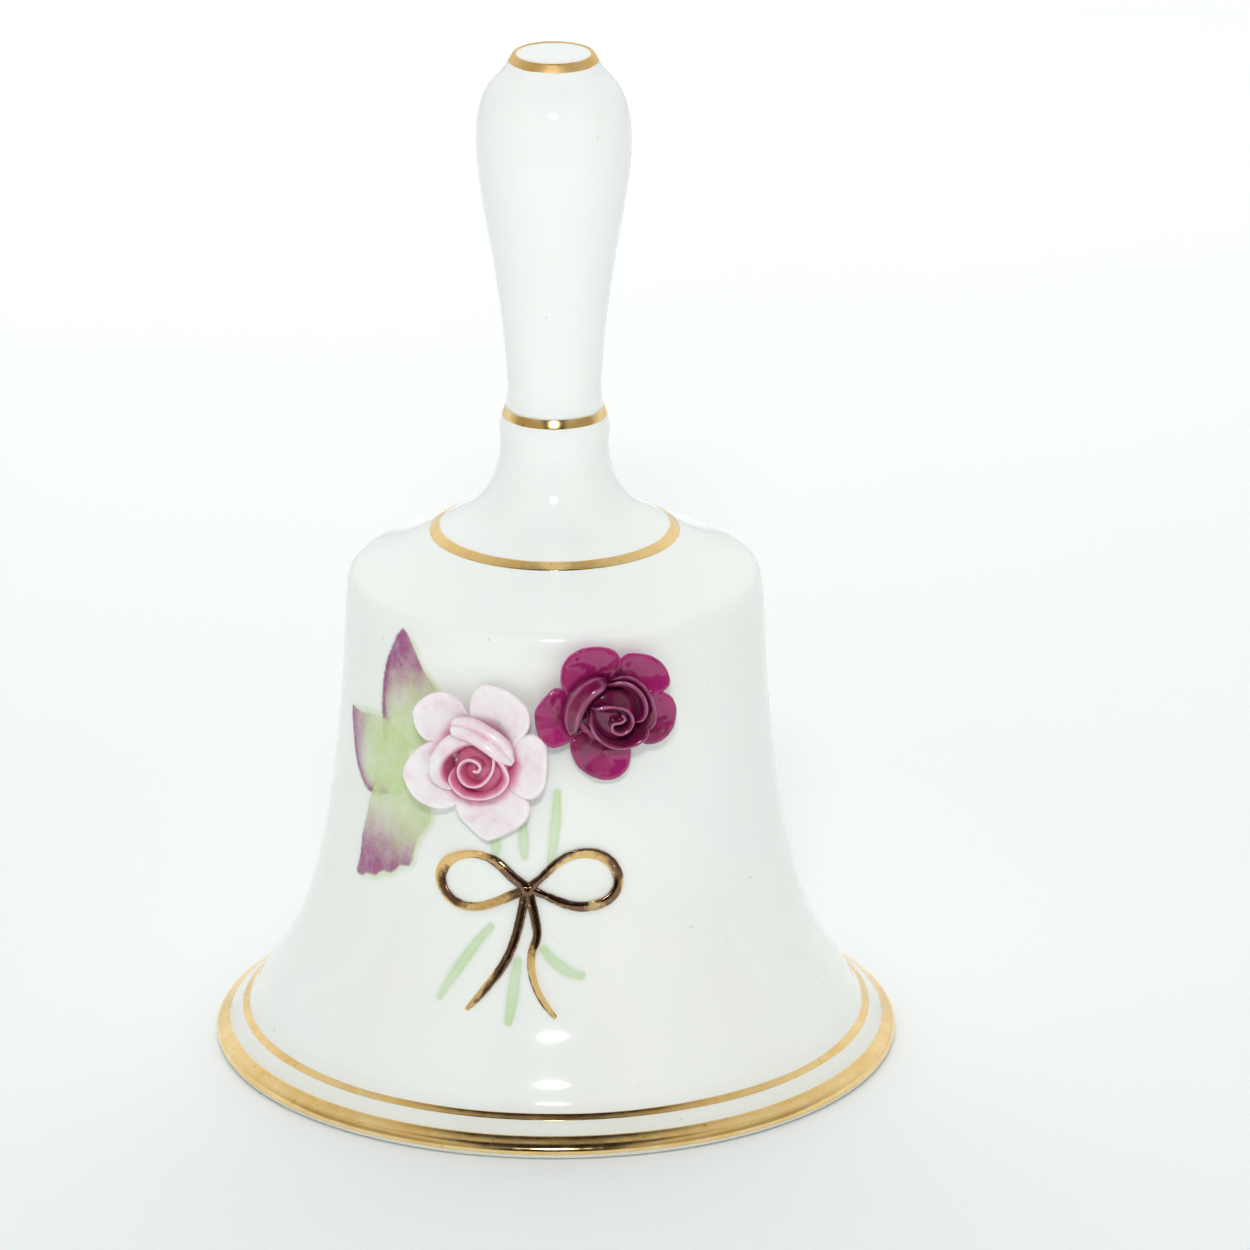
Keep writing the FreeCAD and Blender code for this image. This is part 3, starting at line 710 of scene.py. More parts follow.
PINK_SHEETS = {
    "fold": dict(
        stands_for="inner_petal_1", ends=(0.10, 0.24),
        tints=[1.15, 0.85, 0.10, 0.04, 0.32, 0.04, 0.50], rims=[0, 0, 0.8, 0, 0, 0.8, 0],
        rows=[
            [(-1.5, 2.6, 1.4), (0.2, 2.2, 1.4), (1.6, 1.5, 1.4), (2.6, 0.6, 1.4), (3.3, -0.2, 1.4)],
            [(-2.1, 3.2, 3.3), (-0.1, 3.0, 3.6), (1.8, 2.2, 3.7), (3.2, 1.2, 3.6), (4.2, 0.2, 3.3)],
            [(-2.5, 3.65, 4.2), (-0.3, 3.6, 4.9), (1.85, 2.7, 5.05), (3.45, 1.65, 4.85), (4.65, 0.5, 4.2)],
            [(-2.65, 3.95, 4.15), (-0.4, 4.0, 4.75), (1.95, 3.1, 4.85), (3.65, 1.95, 4.65),
             (4.75, 0.7, 4.1)],
            [(-2.75, 4.2, 3.7), (-0.5, 4.35, 4.15), (2.0, 3.45, 4.25), (3.85, 2.2, 4.05), (4.85, 0.9, 3.6)],
            [(-2.75, 4.45, 3.7), (-0.75, 4.85, 4.1), (1.95, 4.0, 4.2), (4.05, 2.6, 3.9), (4.95, 1.1, 3.5)],
            [(-2.65, 4.6, 2.6), (-0.8, 5.15, 2.8), (1.95, 4.35, 2.9), (4.15, 2.85, 2.8),
             (4.95, 1.2, 2.5)]]),
    "wrap": dict(
        stands_for="inner_petal_2", ends=(0.0, 0.30),
        tints=[1.15, 0.85, 0.15, 0.0, 0.20], rims=[0, 0, 0.8, 0, 0],
        rows=[
            [(0.5, 1.9, 1.4), (-0.7, 1.6, 1.4), (-1.8, 0.9, 1.4), (-2.6, -0.2, 1.4), (-2.5, -1.6, 1.4),
             (-1.7, -2.6, 1.4)],
            [(0.5, 2.4, 3.0), (-0.8, 2.1, 3.2), (-2.0, 1.3, 3.3), (-3.1, 0.0, 3.3), (-3.2, -1.7, 3.1),
             (-2.3, -2.9, 2.9)],
            [(0.5, 2.8, 3.7), (-0.9, 2.5, 4.05), (-2.2, 1.6, 4.25), (-3.5, 0.1, 4.2), (-3.7, -1.8, 3.8),
             (-2.7, -3.1, 3.4)],
            [(-0.1, 3.1, 3.6), (-1.5, 3.0, 3.95), (-2.9, 2.1, 4.1), (-4.1, 0.4, 4.0), (-4.35, -1.9, 3.6),
             (-3.1, -3.6, 3.2)],
            [(-0.3, 3.2, 2.6), (-1.9, 3.3, 2.7), (-3.4, 2.4, 2.8), (-4.7, 0.5, 2.7), (-4.85, -2.1, 2.6),
             (-3.4, -4.0, 2.5)]]),
    "cup": dict(
        stands_for="inner_petal_3", ends=(0.10, 0.0), tints=[1.2, 0.95, 0.60, 0.25], rims=[0, 0, 0, 0.9],
        rows=[
            [(-1.9, -0.6, 1.4), (-1.7, -1.6, 1.4), (-0.6, -2.5, 1.4), (1.0, -2.8, 1.4), (2.4, -2.1, 1.4),
             (3.1, -0.7, 1.4), (2.8, 0.6, 1.4), (2.3, 1.3, 1.4)],
            [(-2.2, -0.6, 2.8), (-2.0, -1.7, 2.8), (-1.0, -2.8, 2.8), (1.0, -3.1, 2.8), (2.9, -2.2, 2.8),
             (3.6, -0.7, 2.9), (3.2, 0.8, 3.1), (2.7, 1.5, 3.3)],
            [(-2.5, -0.6, 3.6), (-2.3, -1.8, 3.7), (-1.3, -3.1, 3.7), (1.0, -3.45, 3.7), (3.3, -2.4, 3.8),
             (4.2, -0.8, 4.0), (3.6, 0.9, 4.3), (2.9, 1.8, 4.6)],
            [(-2.6, -0.6, 3.75), (-2.5, -1.85, 3.85), (-1.45, -3.25, 3.85), (1.0, -3.7, 3.85),
             (3.65, -2.55, 3.95), (4.6, -0.8, 4.15), (3.85, 1.05, 4.45), (3.05, 2.0, 4.75)]]),
    "spiral": dict(
        stands_for="bud", ends=(0.0, 0.0), tints=[1.2, 1.0, 0.68, 0.40], rims=[0, 0, 0, 0.75],
        rows=[
            [(2.3, 1.2, 1.4), (2.4, 0.2, 1.4), (1.8, -0.9, 1.4), (0.8, -1.4, 1.4), (-0.1, -1.2, 1.4),
             (-0.5, -0.5, 1.4), (-0.3, 0.3, 1.4), (0.3, 0.7, 1.4), (0.9, 0.6, 1.4), (1.2, 0.2, 1.4),
             (1.0, 0.0, 1.4), (0.8, 0.15, 1.4)],
            [(2.6, 1.5, 3.2), (2.7, 0.4, 3.2), (2.1, -0.9, 3.2), (0.9, -1.7, 3.2), (-0.2, -1.5, 3.3),
             (-0.7, -0.6, 3.4), (-0.6, 0.3, 3.5), (0.1, 0.85, 3.6), (1.0, 0.8, 3.7), (1.4, 0.3, 3.7),
             (1.15, -0.05, 3.7), (0.8, 0.1, 3.7)],
            [(2.85, 1.8, 4.5), (2.95, 0.6, 4.6), (2.35, -0.9, 4.6), (1.05, -1.9, 4.6), (-0.2, -1.75, 4.7),
             (-0.9, -0.8, 4.8), (-0.85, 0.2, 4.9), (0.0, 1.0, 5.0), (1.0, 1.0, 5.1), (1.6, 0.4, 5.1),
             (1.3, -0.1, 5.1), (0.8, 0.0, 5.1)],
            [(2.9, 1.85, 4.7), (3.0, 0.6, 4.8), (2.4, -0.95, 4.8), (1.05, -2.0, 4.8), (-0.25, -1.85, 4.9),
             (-1.0, -0.8, 5.0), (-0.95, 0.2, 5.1), (-0.05, 1.1, 5.2), (1.05, 1.1, 5.3), (1.7, 0.4, 5.3),
             (1.35, -0.15, 5.3), (0.8, -0.05, 5.3)]]),
}
CRIMSON_PETALS = [
    [(0.8, 2.0, 1.4), (1.2, 4.8, 1.9), (1.9, 6.2, 2.0), (4.2, 6.2, 1.8), (5.95, 5.3, 1.8), (6.95, 3.8, 1.8),
     (7.0, 2.5, 2.0), (6.2, 1.8, 2.0), (4.6, 1.4, 1.9), (2.2, 1.0, 1.4)],
    [(-2.0, 1.2, 1.4), (-4.5, 2.4, 2.2), (-5.1, 3.6, 2.1), (-5.0, 5.0, 1.9), (-4.2, 6.5, 1.8),
     (-2.65, 7.4, 2.0), (-0.6, 7.4, 2.0), (1.0, 6.8, 2.1), (1.6, 5.8, 2.2), (1.2, 4.4, 2.2),
     (0.4, 2.0, 1.4)],
    [(-1.8, 1.0, 1.3), (-4.4, 2.6, 1.9), (-5.6, 3.1, 1.9), (-6.7, 2.3, 1.8), (-7.8, 0.8, 1.8),
     (-7.9, -0.8, 1.8), (-7.3, -2.7, 1.9), (-6.0, -3.7, 2.0), (-4.4, -3.2, 1.9), (-1.8, -1.2, 1.3)],
    [(-1.6, -1.8, 1.3), (-4.1, -3.2, 2.1), (-3.95, -4.6, 2.0), (-3.15, -6.2, 1.8), (-1.6, -7.35, 1.8),
     (0.35, -7.9, 1.8), (1.8, -7.3, 1.8), (2.6, -6.0, 1.9), (2.6, -4.1, 2.0), (1.2, -1.8, 1.3)],
    [(2.0, 1.2, 1.4), (4.8, 1.9, 2.1), (6.3, 1.8, 2.0), (7.5, 0.7, 1.9), (7.8, -1.15, 1.8),
     (7.1, -3.0, 1.9), (5.8, -4.0, 2.0), (4.1, -4.0, 2.1), (2.9, -3.2, 2.0), (1.4, -1.6, 1.4)],
]
CRIMSON_SHEETS = {
    "flap": dict(
        stands_for="inner_petal_2", ends=(0.16, 0.30),
        tints=[1.2, 1.0, 0.72, 0.80, 0.66, 1.0], rims=[0, 0, 0.8, 0, 0.7, 0],
        rows=[
            [(0.0, 2.6, 1.4), (-0.8, 2.3, 1.4), (-1.8, 1.6, 1.4), (-2.5, 0.4, 1.4), (-2.8, -1.5, 1.4)],
            [(-0.1, 3.3, 3.0), (-1.0, 2.8, 3.2), (-2.2, 1.8, 3.3), (-3.0, 0.4, 3.2), (-3.5, -1.9, 2.8)],
            [(-0.15, 4.0, 3.9), (-1.3, 3.35, 4.3), (-2.75, 2.2, 4.4), (-3.65, 0.4, 4.2),
             (-4.15, -2.3, 3.5)],
            [(-0.3, 4.25, 3.75), (-1.8, 3.65, 4.0), (-3.25, 2.5, 4.05), (-4.1, 0.5, 3.9),
             (-4.35, -2.3, 3.3)],
            [(-0.4, 4.45, 3.4), (-2.3, 3.95, 3.6), (-3.8, 2.9, 3.6), (-4.7, 0.7, 3.5), (-4.65, -2.5, 3.1)],
            [(-0.4, 4.4, 2.4), (-2.3, 4.0, 2.5), (-3.9, 2.9, 2.5), (-4.75, 0.6, 2.4), (-4.6, -2.4, 2.3)]]),
    "outer_wall": dict(
        stands_for="inner_petal_1", ends=(0.14, 0.20), tints=[1.2, 1.0, 0.8, 0.6], rims=[0, 0, 0, 0.9],
        rows=[
            [(0.4, 3.0, 1.4), (1.7, 2.9, 1.4), (2.9, 2.1, 1.4), (3.5, 0.8, 1.4), (3.6, -0.8, 1.4),
             (3.0, -2.2, 1.4)],
            [(0.4, 3.6, 2.6), (1.9, 3.5, 2.8), (3.3, 2.5, 2.8), (4.1, 1.0, 2.8), (4.2, -0.9, 2.7),
             (3.5, -2.6, 2.6)],
            [(0.3, 4.2, 3.4), (1.9, 4.3, 3.6), (3.8, 3.0, 3.7), (4.75, 1.1, 3.7), (4.95, -1.0, 3.6),
             (4.3, -2.8, 3.4)],
            [(0.3, 4.3, 3.45), (2.0, 4.4, 3.65), (3.9, 3.1, 3.75), (4.9, 1.1, 3.75), (5.1, -1.0, 3.65),
             (4.4, -2.9, 3.45)]]),
    "inner_wall": dict(
        stands_for="inner_petal_3", ends=(0.10, 0.16), tints=[1.2, 1.0, 0.85, 0.6], rims=[0, 0, 0, 0.9],
        rows=[
            [(-0.3, 2.5, 1.4), (0.9, 2.6, 1.4), (1.9, 2.1, 1.4), (2.6, 1.1, 1.4), (2.7, 0.0, 1.4),
             (2.0, -0.9, 1.4)],
            [(-0.3, 3.2, 2.9), (1.1, 3.3, 3.1), (2.3, 2.6, 3.2), (3.1, 1.4, 3.2), (3.2, 0.0, 3.1),
             (2.2, -1.0, 3.0)],
            [(-0.2, 3.8, 4.1), (1.4, 3.9, 4.4), (2.8, 3.1, 4.5), (3.7, 1.6, 4.5), (3.7, 0.0, 4.4),
             (2.4, -1.2, 4.2)],
            [(-0.2, 3.9, 4.2), (1.4, 4.05, 4.5), (2.9, 3.2, 4.6), (3.85, 1.6, 4.6), (3.85, 0.0, 4.5),
             (2.4, -1.3, 4.3)]]),
    "cup": dict(
        stands_for=None, ends=(0.14, 0.16), tints=[1.2, 1.0, 0.8, 0.6], rims=[0, 0, 0, 0.9],
        rows=[
            [(-1.4, 0.6, 1.4), (-1.5, -0.2, 1.4), (-1.2, -1.2, 1.4), (-0.4, -2.0, 1.4), (0.8, -2.5, 1.4),
             (2.0, -2.3, 1.4), (3.0, -1.6, 1.4), (3.4, -0.6, 1.4)],
            [(-1.8, 0.7, 2.9), (-1.9, -0.2, 2.9), (-1.5, -1.5, 2.8), (-0.6, -2.5, 2.8), (0.8, -3.1, 2.7),
             (2.2, -2.9, 2.7), (3.4, -2.1, 2.7), (4.0, -0.8, 2.7)],
            [(-2.15, 0.9, 4.1), (-2.3, -0.25, 4.1), (-1.8, -1.8, 4.0), (-0.75, -2.95, 3.9),
             (0.85, -3.65, 3.8), (2.45, -3.5, 3.8), (3.9, -2.7, 3.8), (4.6, -1.2, 3.8)],
            [(-2.2, 0.9, 4.2), (-2.4, -0.3, 4.2), (-1.9, -1.9, 4.1), (-0.8, -3.1, 4.0), (0.85, -3.8, 3.9),
             (2.5, -3.65, 3.9), (4.0, -2.8, 3.9), (4.75, -1.2, 3.9)]]),
    "spiral": dict(
        stands_for="bud", ends=(0.08, 0.0), tints=[1.2, 1.0, 0.8, 0.6], rims=[0, 0, 0, 0.9],
        rows=[
            [(-1.7, 0.7, 1.4), (-0.9, 0.9, 1.4), (0.4, 0.8, 1.4), (1.3, 0.4, 1.4), (1.6, -0.3, 1.4),
             (1.2, -1.0, 1.4), (0.6, -1.2, 1.4), (0.1, -0.9, 1.4), (0.2, -0.5, 1.4), (0.7, -0.4, 1.4),
             (1.0, -0.2, 1.4), (0.9, 0.1, 1.4)],
            [(-2.0, 0.9, 3.2), (-1.1, 1.15, 3.2), (0.5, 1.05, 3.3), (1.55, 0.5, 3.4), (1.9, -0.35, 3.4),
             (1.45, -1.2, 3.4), (0.6, -1.45, 3.5), (0.0, -1.0, 3.5), (0.1, -0.5, 3.6), (0.75, -0.4, 3.6),
             (1.15, -0.15, 3.6), (0.9, 0.3, 3.6)],
            [(-2.2, 1.05, 4.5), (-1.3, 1.3, 4.6), (0.55, 1.25, 4.7), (1.8, 0.65, 4.8), (2.2, -0.4, 4.8),
             (1.7, -1.35, 4.9), (0.6, -1.65, 4.9), (-0.1, -1.1, 4.9), (0.0, -0.5, 5.0), (0.8, -0.4, 5.0),
             (1.3, -0.05, 5.0), (0.95, 0.5, 5.0)],
            [(-2.25, 1.1, 4.65), (-1.35, 1.4, 4.75), (0.6, 1.35, 4.85), (1.9, 0.7, 4.95), (2.3, -0.4, 4.95),
             (1.8, -1.45, 5.05), (0.6, -1.75, 5.05), (-0.2, -1.15, 5.05), (-0.05, -0.45, 5.15),
             (0.8, -0.35, 5.15), (1.35, 0.0, 5.15), (0.95, 0.55, 5.15)]]),
}


def rose(kind, petals, sheets, material, slot, cup, deep, middle):
    """One rose on the wall. cup is how hollow its outer petals are, deep how dark they are at the middle,
    partly as painted shade.
    """
    spot = Spot(kind + "_bud", BUD_MIDDLE)
    looks = (material, slot)
    for number, outline in enumerate(petals, start=1):
        outer_petal(f"{kind}_outer_{number}", spot, outline, cup, deep, looks)
    for name, spec in sheets.items():
        sheet(kind, name, spot, looks, **spec)
    core(kind + "_core", spot, middle, looks)


# ---- bow ---------------------------------------------------------------------------------------
def ribbon(name, strand):
    """A strand of gilded clay on the wall, from its row of the table at each centre point."""
    strand = np.array(strand, float)
    steps = 14 * len(strand)
    line = smooth_curve(strand[:, :2], steps)
    keys = np.linspace(0, 1, len(strand))
    where = np.linspace(0, 1, steps)
    width, left, ridge, right, place, left_tone, ridge_tone, right_tone = (
        np.interp(where, keys, column) for column in strand[:, 2:].T)
    width = width * (1 + 0.10 * grain(line, 1.6, 4.0))
    along = np.gradient(line, axis=0)
    along /= np.linalg.norm(along, axis=1)[:, None]
    side = np.column_stack([along[:, 1], -along[:, 0]])
    sunk = np.full(steps, -0.1)
    half = np.full(steps, 0.5)
    shoulder = np.full(steps, 0.45)
    # each edge of the section: place across, height over the wall, and how dark the gold is there, partly
    # painted reflection
    profile = [(-half, sunk, left_tone),
               (-half, 0.55 * left, left_tone),
               (-shoulder, left, left_tone),
               (place - 0.22, 0.5 * (left + ridge), 0.5 * (left_tone + ridge_tone)),
               (place, ridge, ridge_tone),
               (place + 0.22, 0.5 * (ridge + right), 0.5 * (right_tone + ridge_tone)),
               (shoulder, right, right_tone),
               (half, 0.55 * right, right_tone),
               (half, sunk, right_tone)]
    section = []
    for across, lift, _ in profile:
        seen = line + side * (across * width)[:, None]
        section.append(on_wall(turn_at(seen[:, 0], seen[:, 1]), seen[:, 1], lift))
    grid = np.stack(section, axis=1)
    columns = len(profile)
    dark_gold_and_reflection = np.stack([part[2] for part in profile], axis=1)
    faces = cup_faces(steps, columns) + [tuple(range(columns))]
    piece = new_piece(name, grid.reshape(-1, 3), faces, gold_ribbon, "gilding",
                      [name.replace("ribbon", "bow")], True, {"dark_gold_and_reflection": dark_gold_and_reflection.ravel()})
    smoother = piece.modifiers.new("round", "SUBSURF")
    smoother.levels = smoother.render_levels = 2


# Each row is a centre point seen from the front (x, z) and the width there, then the heights of the left
# edge, the ridge and the right edge, how far across the ridge is, and how dark the gold is at those three:
# partly dark gold, partly painted reflection.
RIBBONS = {
    "ribbon_loop_left": [
        (-2.9, 26.9, 1.2, 0.4, 0.45, 0.4, 0.0, 1, 1, 1),
        (-4.5, 28.0, 1.2, 0.4, 0.5, 0.4, 0.1, 1, 0.85, 1),
        (-6.1, 29.4, 1.15, 0.4, 0.5, 0.3, 0.1, 0.9, 0.6, 0.9),
        (-7.6, 30.0, 0.8, 0.3, 0.4, 0.2, -0.1, 0.8, 0.3, 0.3),
        (-9.3, 30.0, 0.9, 0.15, 0.35, 0.6, 0.1, 0.15, 0, 0.15),
        (-11.0, 29.3, 1.1, 0.15, 0.35, 0.65, 0.1, 0.15, 0, 0.1),
        (-12.15, 27.8, 1.1, 0.3, 0.45, 0.5, 0.0, 1, 0.6, 0.1),
        (-12.1, 26.0, 1.0, 0.4, 0.45, 0.4, 0.0, 1, 0.9, 0.25),
        (-11.0, 24.75, 0.95, 0.35, 0.45, 0.5, 0.1, 0.7, 0.7, 0.15),
        (-9.2, 24.3, 0.85, 0.15, 0.35, 0.6, 0.1, 0.2, 0, 0.2),
        (-6.8, 24.9, 0.95, 0.12, 0.35, 0.65, 0.1, 0.1, 0, 0.35),
        (-4.6, 25.95, 1.0, 0.2, 0.4, 0.55, 0.1, 0.6, 0.35, 0.8),
        (-2.9, 26.7, 1.1, 0.4, 0.45, 0.4, 0.0, 1, 1, 1),
    ],
    "ribbon_loop_right": [
        (-2.8, 26.8, 1.1, 0.4, 0.45, 0.4, 0.0, 1, 1, 1),
        (-1.2, 28.2, 0.85, 0.4, 0.45, 0.4, 0.0, 1, 1, 1),
        (0.4, 29.7, 0.95, 0.4, 0.45, 0.3, 0.0, 0.8, 0.7, 0.2),
        (2.0, 30.5, 1.1, 0.45, 0.5, 0.15, -0.2, 1, 0.6, 0.1),
        (3.9, 30.65, 1.15, 0.45, 0.5, 0.1, -0.2, 1, 0.3, 0),
        (5.6, 30.0, 1.2, 0.45, 0.5, 0.15, -0.1, 1, 0.5, 0),
        (6.75, 28.5, 1.15, 0.42, 0.5, 0.25, 0.0, 0.8, 1, 0.4),
        (6.95, 26.9, 1.1, 0.4, 0.5, 0.4, 0.1, 0.2, 1, 0.9),
        (6.0, 25.5, 1.1, 0.4, 0.5, 0.42, 0.1, 0.9, 1, 0.9),
        (4.2, 24.85, 1.1, 0.4, 0.45, 0.42, 0.1, 0.5, 0.1, 0.5),
        (2.2, 24.9, 1.05, 0.4, 0.45, 0.4, 0.1, 0.9, 1, 0.9),
        (0.4, 25.5, 0.95, 0.42, 0.45, 0.35, 0.0, 0.6, 1, 1),
        (-1.2, 26.2, 0.8, 0.4, 0.45, 0.4, 0.0, 1, 1, 1),
        (-2.8, 26.8, 1.0, 0.4, 0.45, 0.4, 0.0, 1, 1, 1),
    ],
    "ribbon_tail_left": [
        (-3.0, 26.6, 1.1, 0.4, 0.45, 0.4, 0.0, 1, 1, 1),
        (-3.35, 24.9, 1.05, 0.4, 0.45, 0.4, 0.0, 1, 1, 1),
        (-3.85, 22.6, 1.0, 0.4, 0.45, 0.4, 0.0, 1, 1, 1),
        (-4.6, 20.2, 1.0, 0.4, 0.45, 0.4, 0.0, 1, 1, 1),
        (-5.5, 18.4, 0.95, 0.35, 0.45, 0.25, 0.1, 1, 0.9, 0.8),
        (-6.8, 16.6, 0.95, 0.4, 0.4, 0.1, 0.1, 1, 0.6, 0.1),
        (-8.2, 14.9, 0.8, 0.35, 0.35, 0.08, 0.1, 0.9, 0.2, 0),
        (-9.6, 13.35, 0.5, 0.15, 0.2, 0.08, 0.1, 0.4, 0.2, 0.3),
    ],
    "ribbon_tail_right": [
        (-2.8, 26.6, 1.1, 0.4, 0.45, 0.4, 0.0, 1, 1, 1),
        (-2.35, 24.9, 1.05, 0.4, 0.45, 0.4, 0.0, 1, 1, 1),
        (-1.95, 23.0, 1.0, 0.4, 0.45, 0.4, 0.0, 1, 1, 1),
        (-1.85, 21.5, 0.95, 0.4, 0.45, 0.35, 0.0, 1, 0.9, 0.6),
        (-2.3, 20.2, 0.9, 0.5, 0.4, 0.15, 0.0, 0.2, 0.1, 0.3),
        (-2.5, 18.4, 0.9, 0.5, 0.4, 0.15, 0.0, 0.1, 0, 0.5),
        (-2.1, 16.5, 0.8, 0.5, 0.4, 0.15, 0.0, 0, 0.2, 0.9),
        (-1.2, 14.7, 0.75, 0.4, 0.35, 0.12, 0.0, 0, 0.2, 0.9),
        (0.2, 13.05, 0.5, 0.2, 0.2, 0.1, 0.0, 0.6, 0.2, 0.3),
    ],
}
KNOT_OUTLINE = [(-3.9, 27.6), (-2.9, 27.5), (-1.9, 27.5), (-1.9, 26.6), (-2.2, 25.9), (-2.9, 25.6),
                (-3.6, 25.9), (-3.8, 26.6)]


def knot():
    """A small pressed lump where the strands meet."""
    columns, rows = 48, 10
    rim = smooth_curve(KNOT_OUTLINE, columns, closed=True)
    middle = rim.mean(axis=0)
    rings = []
    for share in np.linspace(0, 1, rows):
        flat = middle + share * (rim - middle)
        lift = 0.55 * (1 - share ** 2.5) + 0.1 - 0.2 * (share > 0.99)
        ripple = 0.18 * grain(flat, 1.3, 2.0) * (1 - share)
        rings.append(on_wall(turn_at(flat[:, 0], flat[:, 1]), flat[:, 1], lift + ripple))
    # the knot's dark colour is partly painted reflection
    new_piece("ribbon_knot", np.vstack(rings), cup_faces(rows, columns), gold_ribbon, "gilding",
              ["bow_knot"], True, {"dark_gold_and_reflection": np.full(rows * columns, 0.95)})


# ---- enamel painting ---------------------------------------------------------------------------
PAINT_LIFT = 0.010          # height of full paint over the glaze
PAINT_EDGE = -0.012         # height where the paint thins out to nothing
PAINT_SINK = 0.10           # how far down a patch's closed back lies
PAINT_STEP = 0.14           # grid step
PAINT_MARGIN = 5            # grid steps over which a patch sinks into the wall
MAUVE = srgb(160, 60, 130)
DARK_MAUVE = srgb(134, 48, 100)
BLUSH = srgb(206, 176, 176)
SAGE = srgb(200, 210, 154)
FRESH_GREEN = srgb(206, 232, 152)
STEM_GREEN = srgb(200, 230, 166)


def to_flat(turn, height):
    """Unrolls wall places to flat millimetres."""
    radius = outer_at(height)[0]
    return np.stack([np.radians(turn) * radius, np.asarray(height, float)], axis=-1)


def distance_to(points, line, closed):
    """Distance from flat points to a polyline, and how far along it (0 to 1) the nearest place is."""
    ends = np.roll(line, -1, axis=0) if closed else line[1:]
    starts = line if closed else line[:-1]
    best = np.full(len(points), 1e9)
    place = np.zeros(len(points))
    for k, (a, b) in enumerate(zip(starts, ends)):
        ab = b - a
        t = np.clip(((points - a) @ ab) / (ab @ ab), 0, 1)
        gap = np.linalg.norm(points - a - t[:, None] * ab, axis=1)
        nearer = gap < best
        best[nearer] = gap[nearer]
        place[nearer] = ((k + t) / len(starts))[nearer]
    return best, place


def inside(points, line):
    """True for flat points inside a closed polyline."""
    hit = np.zeros(len(points), bool)
    x, y = points[:, 0], points[:, 1]
    for (ax, ay), (bx, by) in zip(line, np.roll(line, -1, axis=0)):
        if ay == by:
            continue
        crosses = (ay > y) != (by > y)
        hit ^= crosses & (x < (bx - ax) * (y - ay) / (by - ay) + ax)
    return hit


class Painting:
    """Enamel on a patch of wall: colour and cover at each point of a fine grid."""

    def __init__(self, turns, heights):
        radius = outer_at(sum(heights) / 2)[0]
        across = int(math.radians(turns[1] - turns[0]) * radius / PAINT_STEP)
        up = int((heights[1] - heights[0]) / PAINT_STEP)
        turn, height = np.meshgrid(np.linspace(*turns, across), np.linspace(*heights, up))
        self.shape = turn.shape
        self.turn, self.height = turn.ravel(), height.ravel()
        self.flat = to_flat(self.turn, self.height)
        self.colour = np.tile(np.array(CHINA[:3]), (len(self.turn), 1))
        self.cover = np.zeros(len(self.turn))

    def lay(self, colour, cover):
        """Lays a wash of one colour over what is there."""
        cover = np.clip(cover, 0, 1)
        total = self.cover + cover * (1 - self.cover)
        share = np.where(total > 1e-6, cover / np.maximum(total, 1e-6), 0)[:, None]
        self.colour = self.colour * (1 - share) + np.array(colour[:3]) * share
        self.cover = total

    def piece(self, name):
        """The painted part of the patch as a thin closed coat that sinks into the wall at its edges."""
        rows, columns = self.shape
        spread = np.pad(self.cover.reshape(rows, columns), PAINT_MARGIN)
        for axis in (0, 1, 0, 1):
            total = np.cumsum(spread, axis=axis)
            spread = (np.roll(total, -2, axis=axis) - np.roll(total, 3, axis=axis)) / 5
        spread = spread[PAINT_MARGIN:-PAINT_MARGIN, PAINT_MARGIN:-PAINT_MARGIN]
        wide = spread > 0.004
        lift = PAINT_EDGE + (PAINT_LIFT - PAINT_EDGE) * smoothstep(spread, 0.01, 0.30).ravel()
        cell = wide[:-1, :-1] & wide[1:, :-1] & wide[:-1, 1:] & wide[1:, 1:]
        number = np.arange(rows * columns).reshape(rows, columns)
        quads = np.stack([number[:-1, :-1], number[:-1, 1:], number[1:, 1:], number[1:, :-1]], axis=-1)[cell]
        used = np.unique(quads)
        count = len(used)
        order = np.full(rows * columns, -1)
        order[used] = np.arange(count)
        front = [tuple(quad) for quad in order[quads].tolist()]
        back = [tuple(count + v for v in quad[::-1]) for quad in front]
        edges = {edge: None for quad in front for edge in zip(quad, quad[1:] + quad[:1])}
        walls = [(b, a, a + count, b + count) for a, b in edges if (b, a) not in edges]
        top = on_wall(self.turn[used], self.height[used], lift[used])
        bottom = on_wall(self.turn[used], self.height[used], -PAINT_SINK)
        paint = np.column_stack([self.colour[used], self.cover[used]])
        new_piece(name, np.vstack([top, bottom]), front + back + walls, china_painted, "leaf_enamel",
                  colours={"paint": np.vstack([paint, paint])})


